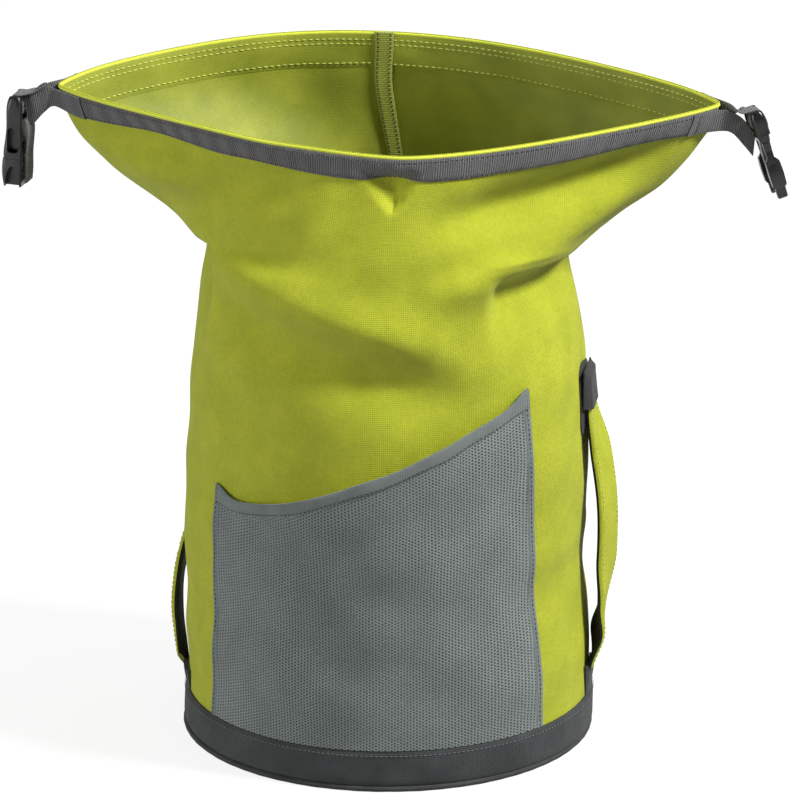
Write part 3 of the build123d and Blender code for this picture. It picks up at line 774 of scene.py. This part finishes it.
def corner_bartacks():
    """Dense short rows of stitches across the webbing beside each corner of the mouth."""
    from_corner, inset, count = 6.0, 1.2, 30
    drops = np.linspace(webbing_drop + inset, webbing_drop + webbing_width - inset, count)
    corners = (
        from_corner, half_columns - from_corner, half_columns + from_corner, COLUMNS - from_corner)
    for corner, column in enumerate(corners):
        for line in (-0.35, 0.0, 0.35):
            places, normals = below_rim(np.full(count, column + line), drops)
            stitches(
                f"bartack_{corner + 1}_{int(line * 100) + 50}",
                places + normals * (webbing_thick + 0.2), normals, THREAD_DARK,
                pitch=1.5, length=1.8, thick=0.8)
    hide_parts("bartacks")


def back_column(x):
    """The column of the back half whose upper end stands at a place across the bag."""
    back = canvas[-1, half_columns:, 0]
    return half_columns + float(np.interp(-x, -back, np.arange(len(back))))


tape_half_width = 6.0
tape_thick = 2.7
tape_x = -14.0               # where the tape's upper end stands across the bag
column_width = 2.9           # distance between two columns at the tape


def seam_tape():
    """The tape over the seam inside the back, from the lip of the mouth down to the base."""
    middle = back_column(tape_x)
    rows = np.linspace(3.0, ROWS - 1.0, 150)
    places = np.linspace(-tape_half_width, tape_half_width, 9)
    base, normal = skin(rows[:, None], middle + places[None] / column_width)
    run = distance_along(base[:, 4])[:, None]
    pucker = 0.18 * np.cos(2 * pi * run / 5.0) * (np.abs(places[None]) / tape_half_width) ** 2
    uv = cloth_uv(run, places[None])
    obj = slab(
        "seam_tape", base, normal, -canvas_thick - tape_thick * rounded(9, 0.6, 0.35)[None] + pucker,
        -canvas_thick - layer_contact, uv, [TAPE])
    stand_in(obj, "back_seam_tape")
    for number, place in enumerate((-4.3, 4.3)):
        places, normals = skin(rows, middle + place / column_width)
        stitches(
            f"seam_tape_stitches_{number + 1}", places - normals * (canvas_thick + 2.6), -normals,
            THREAD_DARK, pitch=3.2, length=2.1, thick=0.8)


# ---------------------------------------------------------------- base
def disc(name, radius, low_z, high_z, crown, material, seed):
    """A round layer of cloth, softly uneven on top."""
    spokes, rings = 96, 28
    turn = full_turn(spokes)[:, None]
    reach = radius * np.linspace(0.004, 1.0, rings)[None] ** 0.9
    x, y = reach * np.cos(turn), reach * np.sin(turn)
    base = np.stack([x, y, np.full_like(x, low_z)], -1)
    normal = np.zeros_like(base)
    normal[..., 2] = 1.0
    soft = crown * (1 - (reach / radius) ** 2) + 0.25 * ripple(x, y, seed, 60.0)
    high = high_z - low_z + soft * (1 - (reach / radius) ** 6)
    return slab(name, base, normal, 0.0, high, cloth_uv(x, y), [material], closed=True)


band_thick = 2.75


def base_band():
    """The dark band round the foot of the bag, with a row of stitches near its upper edge."""
    rows = 12
    columns = np.arange(COLUMNS)[:, None]
    heights = np.linspace(body_bottom, band_top, rows)
    level_rows = np.interp(heights, levels, np.arange(ROWS))
    base, normal = skin(level_rows[None], columns)
    run = columns / COLUMNS * 2 * pi * band_radius
    wave = 0.3 * ripple(run, heights[None], 41, 55.0) * np.sin(np.linspace(0, pi, rows))[None]
    high = (band_thick + wave) * rounded(rows, 0.7, 0.5)[None]
    band = slab(
        "base_band_cloth", base, normal, layer_contact, high, cloth_uv(run, heights[None]), [DARK],
        closed=True)
    mend_seam(band, 2 * pi * band_radius)
    stand_in(band, "base_band")
    fine = np.linspace(0, COLUMNS, 5 * COLUMNS)
    level_row = float(np.interp(band_top - 3.0, levels, np.arange(ROWS)))
    places, normals = skin(np.full(len(fine), level_row), fine)
    stitches(
        "base_band_stitches_1", places + normals * band_thick, normals, THREAD_PALE,
        pitch=3.4, length=2.2)


def base_piping():
    """The slightly uneven piping round the bottom edge."""
    turn = full_turn(288)
    angle = full_turn(12)
    radius = piping_high[2] / 2
    centre = piping_high[0] - radius
    uneven = 1 + 0.03 * np.sin(turn * 61) + 0.02 * np.sin(turn * 23)
    across = centre + radius * np.cos(angle)[None] * uneven[:, None]
    height = radius + radius * np.sin(angle)[None] * uneven[:, None] * 0.97
    loops = np.stack([
        across * np.cos(turn)[:, None], across * np.sin(turn)[:, None],
        np.broadcast_to(height, across.shape)], -1)
    uv = cloth_uv(turn[:, None] * centre, angle[None] * radius)
    piping = loops_object("base_piping_cord", loops, uv, [DARK], closed=True)
    mend_seam(piping, 2 * pi * centre)
    stand_in(piping, "base_piping")


def base_discs():
    """The underside, and the lining over the stiffener board."""
    low, high = node_box("base_panel")
    under = disc("base_underside", high[0], low[2] + 0.02, high[2], 0.0, DARK, 43)
    stand_in(under, "base_panel")
    low, high = node_box("base_lining")
    floor = disc("base_floor_lining", high[0] - 0.5, low[2], high[2], 1.2, INSIDE, 44)
    stand_in(floor, "base_lining")


# ---------------------------------------------------------------- mesh pocket
pocket_foot = pocket_low[2]
pocket_reach = 116.0
pocket_left = curve([(30, -114.0), (200, -110.5)], 3.0)
pocket_right = curve([(30, 114.0), (276, 106.5)], 3.0)
pocket_top = curve([(-111, 199.0), (-97, 195.5), (-47, 208), (22, 238), (75, 261), (107, 276)], 7.0)
pocket_stand = curve([(30, 0.9), (90, 2.5), (150, 7.0), (205, 11.0), (245, 12.0), (285, 9.0)], 12.0)
hem_width = 9.5


def pocket_surface(x, z):
    """Points and normals of the pocket's cloth over places x, z on the front."""
    angle = -90 + np.degrees(np.arcsin(np.clip(x / cloth_radius, -1, 1)))
    point, normal = at_angle(angle, z)
    bulge = 1 - (x / pocket_reach) ** 2
    stand = 0.6 + pocket_stand(z) * np.clip(bulge, 0, 1)
    soft = smoothstep((z - 35) / 60) * np.clip(bulge * 2, 0, 1)
    stand = stand + 1.1 * soft * ripple(x, z, 51, 130.0) + 0.5 * soft * ripple(x, z, 52, 50.0)
    return point + normal * stand[..., None], normal


def pocket_cloth():
    columns, rows = 150, 130
    share = np.linspace(0, 1, columns)[:, None]
    top_x = pocket_left(190) + (pocket_right(260) - pocket_left(190)) * share
    top = pocket_top(top_x) - hem_width + 1.5
    z = pocket_foot + (top - pocket_foot) * np.linspace(0, 1, rows)[None]
    x = pocket_left(z) + (pocket_right(z) - pocket_left(z)) * share
    base, normal = pocket_surface(x, z)
    obj = slab(
        "pocket_mesh_cloth", base, normal, -0.35, 0.35, cloth_uv(x, z), [MESH])
    stand_in(obj, "pocket_mesh")


def pocket_hem():
    columns, rows = 160, 9
    x = np.linspace(float(pocket_left(195)) - 0.5, float(pocket_right(270)) + 0.5, columns)[:, None]
    down = np.linspace(hem_width, 0, rows)[None]
    ear = 4.5 * bell(x - x[0], 6.0) + 5.5 * bell(x - x[-1], 6.0)
    z = pocket_top(x) - down + ear * (1 - down / hem_width)
    base, normal = pocket_surface(x, z)
    edge = rounded(rows, 0.8, 0.6)[None]
    soft = 0.25 * ripple(x, down, 55, 25.0)
    uv = cloth_uv(x, z - pocket_top(x))
    obj = slab("pocket_top_hem", base, normal, -0.55, (1.15 + soft) * edge, uv, [HEM])
    stand_in(obj, "pocket_hem")
    line_x = np.linspace(x[1, 0], x[-2, 0], 500)
    places, normals = pocket_surface(line_x, pocket_top(line_x) - (hem_width - 1.5))
    stitches(
        "pocket_hem_stitches_1", places + normals * 1.1, normals, THREAD_DARK, pitch=3.4, length=2.3)


def pocket_binding(name, side, edge_line, top):
    """The folded strip along one side of the pocket, with a line of stitches."""
    z = np.linspace(pocket_foot, top, 120)[:, None]
    across = np.linspace(-2.2, 2.2, 7)[None]
    x = edge_line(z) - side * 1.0 + across
    base, normal = pocket_surface(x, z)
    height = (0.9 + 0.15 * ripple(z, across, 57, 20.0)) * rounded(7, 0.8, 0.7)[None]
    obj = slab(
        f"pocket_binding_cloth_{name}", base, normal, -0.5, height, cloth_uv(x, z), [HEM])
    stand_in(obj, f"pocket_binding_{name}")
    line_z = z[:, 0]
    places, normals = pocket_surface(edge_line(line_z) - side * 1.0, line_z)
    stitches(
        f"pocket_binding_stitches_{name}", places + normals * 0.9, normals, THREAD_DARK,
        pitch=3.4, length=2.3)


# ---------------------------------------------------------------- padded handles
strap_half_width = 14.0
patch_thick = 2.3
patch_half_width, patch_half_length, patch_corner = 18.0, 26.0, 12.0
half_overlap = 0.8           # how far the upper half of a handle reaches into the lower
# A strap's points in its own plane: distance out, distance along, thickness
side_strap = [
    (147.5, 50, 3.6), (150.2, 64, 5.4), (154.6, 90, 7.0), (158.2, 130, 7.0), (158.2, 170, 7.0),
    (153.0, 210, 7.0), (146.2, 238, 5.6), (143.4, 262, 3.4),
]
rear_strap = [
    (7.0, 8, 3.6), (14.0, 24, 5.4), (22.5, 45, 7.0), (28.0, 70, 7.0), (29.3, 90, 7.0),
    (26.5, 115, 7.0), (19.0, 138, 5.6), (9.0, 162, 3.4),
]


def radial(angle, radius, height):
    return np.array([radius * cos(radians(angle)), radius * sin(radians(angle)), height])


def handle_half(name, strap, twist, axes, span, nodes, seed):
    """Half of a padded handle: crowned lime cover above, dark cloth underneath, closed all round."""
    origin, outward, upward = axes
    across = np.cross(outward, upward)
    line = spline(strap, 400)
    keep = (line[:, 1] >= span[0]) & (line[:, 1] <= span[1])
    line = line[keep][::3]
    direction = unit(np.gradient(line[:, :2], axis=0))
    facing = np.stack([direction[:, 1], -direction[:, 0]], -1)
    run = distance_along(line[:, :2])
    count = 14
    angle = np.linspace(0, pi, count)
    wide = np.cos(angle)
    wide = np.sign(wide) * np.abs(wide) ** 0.62
    crown = np.sin(angle) ** 0.55
    pucker = 1 - 0.05 * (0.5 + 0.5 * np.cos(2 * pi * run / 3.6))[:, None] * np.abs(wide)[None] ** 6
    fat = 1 + 0.05 * ripple(run[:, None], wide[None] * strap_half_width, seed, 26.0)
    half = line[:, 2:3] * 0.42
    turn = np.radians(twist(line[:, 1]))
    top = half * crown[None] * pucker * fat
    bottom = -half * (0.35 + 0.65 * crown[None]) * np.where(crown[None] < 0.02, 0.0, 1.0)
    centre = line[:, :2] - facing * half
    reach = strap_half_width * wide

    spine = origin + centre[:, :1] * outward + centre[:, 1:] * upward
    out = facing[:, :1] * outward + facing[:, 1:] * upward
    turned_out = out * np.cos(turn)[:, None] - across * np.sin(turn)[:, None]
    turned_across = across * np.cos(turn)[:, None] + out * np.sin(turn)[:, None]

    def place(height, side_line):
        return (spine[:, None] + turned_out[:, None] * height[..., None]
                + turned_across[:, None] * side_line[None, :, None])

    loops = np.concatenate([place(top, reach), place(bottom[:, ::-1], reach[::-1])], axis=1)
    girth = np.concatenate([reach, reach[::-1]])
    uv = cloth_uv(run[:, None], girth[None])
    kinds = np.array([0] * (count - 1) + [1] * (count + 1))
    obj = loops_object(name, loops, uv, [LIME, UNDERSIDE], kinds=kinds)
    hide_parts(*nodes)
    for side in (-1, 1):
        offset = side * 11.3
        row_height = half[:, 0] * np.interp(offset / strap_half_width, wide[::-1], crown[::-1])
        places = spine + turned_out * row_height[:, None] + turned_across * offset
        row = stitches(
            f"{name}_stitches_{'left' if side < 0 else 'right'}", places[2:-2], turned_out[2:-2],
            THREAD_LIME, pitch=3.6, length=2.5, thick=0.65, body=None)
        blend_half(row)
    blend_half(obj)


def blend_half(obj):
    """Bakes a half handle's placement into its mesh."""
    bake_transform(obj)


def patch(side, angle, height, lean):
    """The dark rounded patch under a handle's head, with its row of stitches."""
    turns, rings, inset = 72, 8, 3
    outline = rounded_rectangle(full_turn(turns), patch_half_width, patch_half_length, patch_corner)
    share = np.linspace(0.02, 1.0, rings)[None]
    a, b = outline[:, :1] * share, outline[:, 1:] * share
    base, normal = on_bag(a, b, angle, height, lean)
    high = patch_thick * (1 - 0.55 * share ** 12) + 0.12 * ripple(a, b, 61, 14.0)
    obj = slab(
        f"{side}_handle_patch_cloth", base, normal, 0.03, high, cloth_uv(a, b), [PATCH],
        closed=True)
    stand_in(obj, f"{side}_handle_patch")
    ring = rounded_rectangle(
        np.linspace(0, 2 * pi, 200), patch_half_width - inset, patch_half_length - inset,
        patch_corner - 2.5)
    places, normals = on_bag(ring[:, 0], ring[:, 1], angle, height, lean)
    stitches(
        f"{side}_handle_patch_cloth_stitches", places + normals * patch_thick, normals, THREAD_DARK,
        pitch=3.2, length=2.2)


def rounded_rectangle(theta, half_w, half_l, corner):
    """Points at directions on the outline of a rectangle with round corners."""
    points = []
    for angle in theta:
        direction = np.array([cos(angle), sin(angle)])
        reach = min(half_w / max(abs(direction[0]), 1e-6), half_l / max(abs(direction[1]), 1e-6))
        point = direction * reach
        centre = np.sign(point) * np.array([half_w - corner, half_l - corner])
        if abs(point[0]) > half_w - corner and abs(point[1]) > half_l - corner:
            along = float(direction @ centre)
            reach = along + (max(along ** 2 - centre @ centre + corner ** 2, 0)) ** 0.5
            point = direction * reach
        points.append(point)
    return np.array(points)


def on_bag(a, b, angle, height, lean):
    """Points and normals of the bag at places a across and b up from a centre, leaned by degrees."""
    turn = radians(lean)
    across = a * cos(turn) - b * sin(turn)
    upward = a * sin(turn) + b * cos(turn)
    return at_angle(angle + np.degrees(across / cloth_radius), height + upward)


def foot_tab(side, angle, high_z):
    """The dark tab between a strap's foot and the base band; its upper end stands off the cloth."""
    rows, columns, low_z, stand = 14, 13, band_top - 3, 2.5
    z = np.linspace(low_z, high_z, rows)[:, None]
    a = np.linspace(-15, 15, columns)[None]
    base, normal = at_angle(angle + np.degrees(a / cloth_radius), z)
    lift = 1.6 + stand * smoothstep((z - low_z) / (high_z - low_z))
    obj = slab(
        f"{side}_handle_tab_cloth", base, normal, 0.1, lift * rounded(columns, 0.8, 0.45)[None],
        cloth_uv(a, z), [PATCH])
    stand_in(obj, f"{side}_handle_tab")


def side_twist(along):
    """Degrees that the side strap turns about its own length: its grip opens to the front."""
    grip = smoothstep((along - 95) / 35) * smoothstep((250 - along) / 45)
    return 20 * bell(along - 73, 10) - 18 * grip


def rear_twist(along):
    return 14 * bell(along - 85, 34)


def head_cover(name, strap, axes, span, stand):
    """Dark cloth sewn down over the head of a strap."""
    origin, outward, upward = axes
    line = spline(strap, 400)
    along = np.linspace(*span, 22)[:, None]
    reach = np.linspace(-18.0, 18.0, 25)[None]
    top = np.interp(along, line[:, 1], line[:, 0]) + 0.9
    over = smoothstep((17.6 - np.abs(reach)) / 3.2) * smoothstep((span[1] - along) / 5 + 0.1)
    height = stand + (top - stand) * over
    base = (origin + height[..., None] * outward + along[..., None] * upward
            + reach[..., None] * np.cross(outward, upward))
    normal = np.broadcast_to(outward, base.shape)
    edge = rounded(25, 0.8, 0.4)[None]
    obj = slab(name, base, normal, -0.9, 0.5 * edge, cloth_uv(reach, along), [PATCH])
    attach(obj, "bag")


def handle(side, strap, twist, axes, reach, seed):
    """Both halves of a padded handle, from its sewn ends to the middle of its grip."""
    low, middle, high = reach
    spans = ((low, middle), (middle - half_overlap, high))
    halves = (("lower", ("bottom_end", "cover")), ("upper", ("top_end", "foam", "lining")))
    for number, (half, parts) in enumerate(halves):
        handle_half(
            f"{side}_handle_{half}", strap, twist, axes, spans[number],
            [f"{side}_handle_{part}" for part in parts], seed + number)


def handles():
    axes = (np.zeros(3), radial(-2.0, 1, 0), np.array([0.0, 0.0, 1.0]))
    handle("side", side_strap, side_twist, axes, (50.0, 148.0, 262.0), 71)
    head_cover("side_handle_head_cover", side_strap, axes, (243.0, 270.0), 140.6)
    patch("side", -2.0, 246.5, 0.0)
    foot_tab("side", -2.0, 51.0)
    foot = radial(188.0, 141.5, 36.0)
    head = radial(142.0, 141.5, 168.0)
    axes = (foot, radial(165.0, 1, 0), unit(head - foot))
    handle("rear", rear_strap, rear_twist, axes, (8.0, 88.0, 162.0), 73)
    patch("rear", 142.0, 162.0, -39.0)
    foot_tab("rear", 189.0, 44.0)


# ---------------------------------------------------------------- buckle webbing
def buckle_frame(top, lean, turn):
    """Directions of a buckle half that hangs from its top: thickness, length, width."""
    upward = np.array([-sin(radians(lean)), 0, cos(radians(lean))])
    flat = np.array([cos(radians(lean)), 0, sin(radians(lean))])
    side = np.cross(upward, flat)
    thickness = flat * cos(radians(turn)) + side * sin(radians(turn))
    return np.array(top, float), thickness, upward, np.cross(thickness, upward)


left_buckle = buckle_frame((-257.0, 0, 453.5), -2.0, -10.0)
right_buckle = buckle_frame((252.0, 0, 457.0), 18.0, 17.0)
bar_middle = -8.2            # of the bar below the buckle's top
strip_cut = 243.0            # where a free strip is cut in two, across the bag
tab_bend = (228.0, 240.0)    # two places across the bag, between the bag and the tab, for its first piece
buckle_bend = (245.0, 251.0)  # two places across the bag, between the tab and the buckle, for its second piece
# Points of the free strips on from the mouth corner: along the upper edge, along the lower edge
front_edges = {
    "left": (
        [(-232.6, -3.4, 459.2), (-238.4, -3.6, 463.2), (-246.7, -4, 457), (-251.6, -4, 448.9)],
        [(-231.7, -3.4, 446.3), (-238.7, -3.8, 442.2), (-245.9, -4, 434.2), (-250.4, -4, 430.8)]),
    "right": (
        [(231.3, -3.6, 457.3), (236.8, -4, 456.6), (245.5, -4, 451.5), (254.4, -4, 440.8)],
        [(231.5, -3.6, 442.3), (238.7, -4, 440.8), (246.5, -4, 432.5), (253, -4, 424.8)]),
}
back_edges = {
    "left": ([(-237, -3, 462.4), (-246, -8, 457.0)], [(-237, 4, 451), (-245, 8, 455.5)]),
    "right": ([(236.5, -3, 461.6), (244.5, -8, 456.6)], [(236.5, 4, 451), (243.5, 8, 456)]),
}


def ribbon(name, line, width):
    """A strip of webbing along a line, lying across one direction, with ribs as relief."""
    path = spline(line, 160)
    across = np.broadcast_to(width, path.shape)
    run = distance_along(path)
    along = unit(np.gradient(path, axis=0))
    across = unit(across - along * np.sum(across * along, axis=1, keepdims=True))
    facing = np.cross(along, across)
    share = np.linspace(-1, 1, 9)
    edge = rounded(9, 0.55, 0.5)
    relief = 0.12 * np.cos(2 * pi * run / rib_pitch)[:, None]
    height = (webbing_thick / 2 + relief) * edge[None]
    reach = webbing_width / 2 * share
    base = path[:, None] + across[:, None] * reach[None, :, None]
    normal = np.broadcast_to(facing[:, None], base.shape)
    uv = cloth_uv(run[:, None], reach[None])
    return slab(name, base, normal, -height, height, uv, [WEBBING])


def buckle_place(buckle, u, v, w=0.0):
    """A point in a buckle half's own directions: through its thickness, up and across."""
    top, thickness, upward, width = buckle
    return top + u * thickness + v * upward + w * width


def rim_points(columns, drop):
    """Places on the outer face of the sewn webbing, a distance below the lip."""
    places, normals = below_rim(np.array(columns, float), np.full(len(columns), drop))
    return list(places + normals * (webbing_thick + 0.35))


def webbing_strip(name, edges, side, tab_body, buckle_body):
    """A free strip of webbing between two edge lines, in one piece from the bag to the tab's hinge
    and one on to the buckle."""
    upper, lower = (spline(edge, 110) for edge in edges)
    share = np.linspace(0, 1, 9)[None, :, None]
    base = upper[:, None] * (1 - share) + lower[:, None] * share
    middle = base[:, 4]
    run = distance_along(middle)
    normal = unit(np.cross(np.gradient(base, axis=0), (lower - upper)[:, None]))
    relief = 0.13 * np.cos(2 * pi * run / rib_pitch)[:, None]
    height = (webbing_thick / 2 + relief) * rounded(9, 0.55, 0.5)[None]
    uv = cloth_uv(run[:, None], webbing_width * share[..., 0])
    cut = int(np.argmax(side * middle[:, 0] > strip_cut))
    pieces = []
    for part, (first, last, near, far, bend) in enumerate((
            (0, cut + 1, "bag", tab_body, tab_bend),
            (cut, len(run), tab_body, buckle_body, buckle_bend))):
        rows = slice(first, last)
        obj = slab(
            f"{name}_{part + 1}", base[rows], normal[rows], -height[rows], height[rows], uv[rows],
            [WEBBING])
        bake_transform(obj)
        pieces.append(obj)
    return pieces


def over_the_bar(buckle, side, reach):
    """Points of one edge of the strip where it comes over the buckle's end and down its outer side."""
    return [buckle_place(buckle, side * u, v, reach)
            for u, v in ((-2.6, 0.9), (1.2, 0.6), (4.3, -2.6), (5.5, -8.0), (5.5, -12.0))]


def bar_wrap(name, buckle, body, node):
    """The turn of webbing round the bar of a buckle half."""
    turn = np.linspace(0.1, 2 * pi, 20)
    flat = np.sign(np.cos(turn)) * np.abs(np.cos(turn)) ** 0.7
    tall = np.sign(np.sin(turn)) * np.abs(np.sin(turn)) ** 0.8
    line = [buckle_place(buckle, 4.05 * u, bar_middle + 5.85 * v) for u, v in zip(flat, tall)]
    stand_in(ribbon(name, line, buckle[3]), node, body=body)


def strip_edges(columns, drop, free, ends):
    """The two edge lines of a free strip, each from the sewn webbing out to its end."""
    return [
        rim_points(columns, drop + down) + points + end
        for down, points, end in zip((0, webbing_width), free, ends)]


def buckle_webbing():
    """At each mouth corner: the front strip, the back strip that goes over the buckle's bar, and
    the webbing round the bar."""
    for end, corner, side, buckle, body in (
            ("left", 0, -1, left_buckle, "socket"), ("right", half_columns, 1, right_buckle, "plug")):
        front, back = (
            [(corner + way * side * step) % COLUMNS for step in (8, 4.5)] for way in (-1, 1))
        tab = f"{end}_tab"
        edges = strip_edges(front, webbing_drop, front_edges[end], ([], []))
        webbing_strip(f"{end}_webbing_front", edges, side, tab, body)
        over = [over_the_bar(buckle, side, reach) for reach in (8.0, -8.0)]
        edges = strip_edges(back, back_webbing_drop, back_edges[end], over)
        pieces = webbing_strip(f"{end}_webbing_back", edges, side, tab, body)
        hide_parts(tab)
        bar_wrap(f"{end}_webbing_wrap", buckle, body, f"{end}_wrap")
        if end == "left":
            line = [buckle_place(buckle, u, v) for u, v in (
                (6.9, -16.5), (8.4, -20.5), (9.0, -27), (8.2, -42), (8.4, -54), (8.0, -62))]
            tail = ribbon("left_webbing_tail", line, buckle[3])
            stand_in(tail, "left_tail", body=body)


# ---------------------------------------------------------------- carried-over CAD parts
def dress(node, material):
    """Gives a CAD part a material in place of its own."""
    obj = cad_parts[node]
    obj.data.materials.clear()
    obj.data.materials.append(material)


# ---------------------------------------------------------------- making it
bag_canvas()
rim_parts()
side_gap = 1.3
sewn_webbing(
    "rim_webbing_front_strip", side_gap, half_columns - side_gap, webbing_drop, "rim_webbing_front")
sewn_webbing(
    "rim_webbing_back_strip", half_columns + side_gap, COLUMNS - side_gap, back_webbing_drop,
    "rim_webbing_back")
corner_bartacks()
seam_tape()
base_band()
base_piping()
base_discs()
pocket_cloth()
pocket_hem()
pocket_binding("left", -1, pocket_left, 201.0)
pocket_binding("right", 1, pocket_right, 277.0)
handles()
buckle_webbing()
for plastic in ("buckle_socket", "plug_body", "plug_arm_front", "plug_arm_back"):
    dress(plastic, PLASTIC)
dress("base_board", BOARD)


# ---------------------------------------------------------------- floor, lights and camera
def studio():
    bpy.ops.mesh.primitive_plane_add(size=40)
    floor = bpy.context.object
    floor.name = "studio_floor"
    nodes = Nodes("pale_floor")
    floor.data.materials.append(nodes.finish(srgb(120, 120, 120), 0.9, 0.0, 0.0))
    nodes.shader.inputs["Emission Color"].default_value = (1, 1, 1, 1)
    nodes.shader.inputs["Emission Strength"].default_value = 0.86
    floor.visible_diffuse = False
    world = bpy.data.worlds.new("studio")
    scene.world = world
    world.use_nodes = True
    sky = world.node_tree.nodes["Background"].inputs
    sky["Color"].default_value = (1, 1, 1, 1)
    sky["Strength"].default_value = 0.27
    area_light("key", (2.6, -0.75, 3.0), 0.8, 210)
    area_light("fill", (-3.0, -1.9, 0.7), 2.0, 68)
    area_light("top", (0.5, 0.3, 3.0), 1.2, 14)


def area_light(name, place, size, power):
    data = bpy.data.lights.new(name, "AREA")
    data.size = size
    data.energy = power
    lamp = bpy.data.objects.new(name, data)
    lamp.location = place
    aim = Vector((0, 0, 0.25)) - Vector(place)
    lamp.rotation_euler = aim.to_track_quat("-Z", "Y").to_euler()
    scene.collection.objects.link(lamp)


def camera():
    """The viewing angle: a little from the right and from above, with a long lens."""
    azimuth, elevation, distance = radians(5.8), radians(18.68), 5.0
    target = Vector((0, 0, 0.235))
    back = Vector((sin(azimuth) * cos(elevation), -cos(azimuth) * cos(elevation), sin(elevation)))
    data = bpy.data.cameras.new("view")
    data.sensor_width = 36.0
    data.lens = 321.3
    data.shift_x = 0.0153
    data.shift_y = 0.005
    view = bpy.data.objects.new("view", data)
    view.location = target + back * distance
    view.rotation_euler = (-back).to_track_quat("-Z", "Y").to_euler()
    scene.collection.objects.link(view)
    scene.camera = view


studio()
camera()
scene.view_settings.view_transform = "Standard"
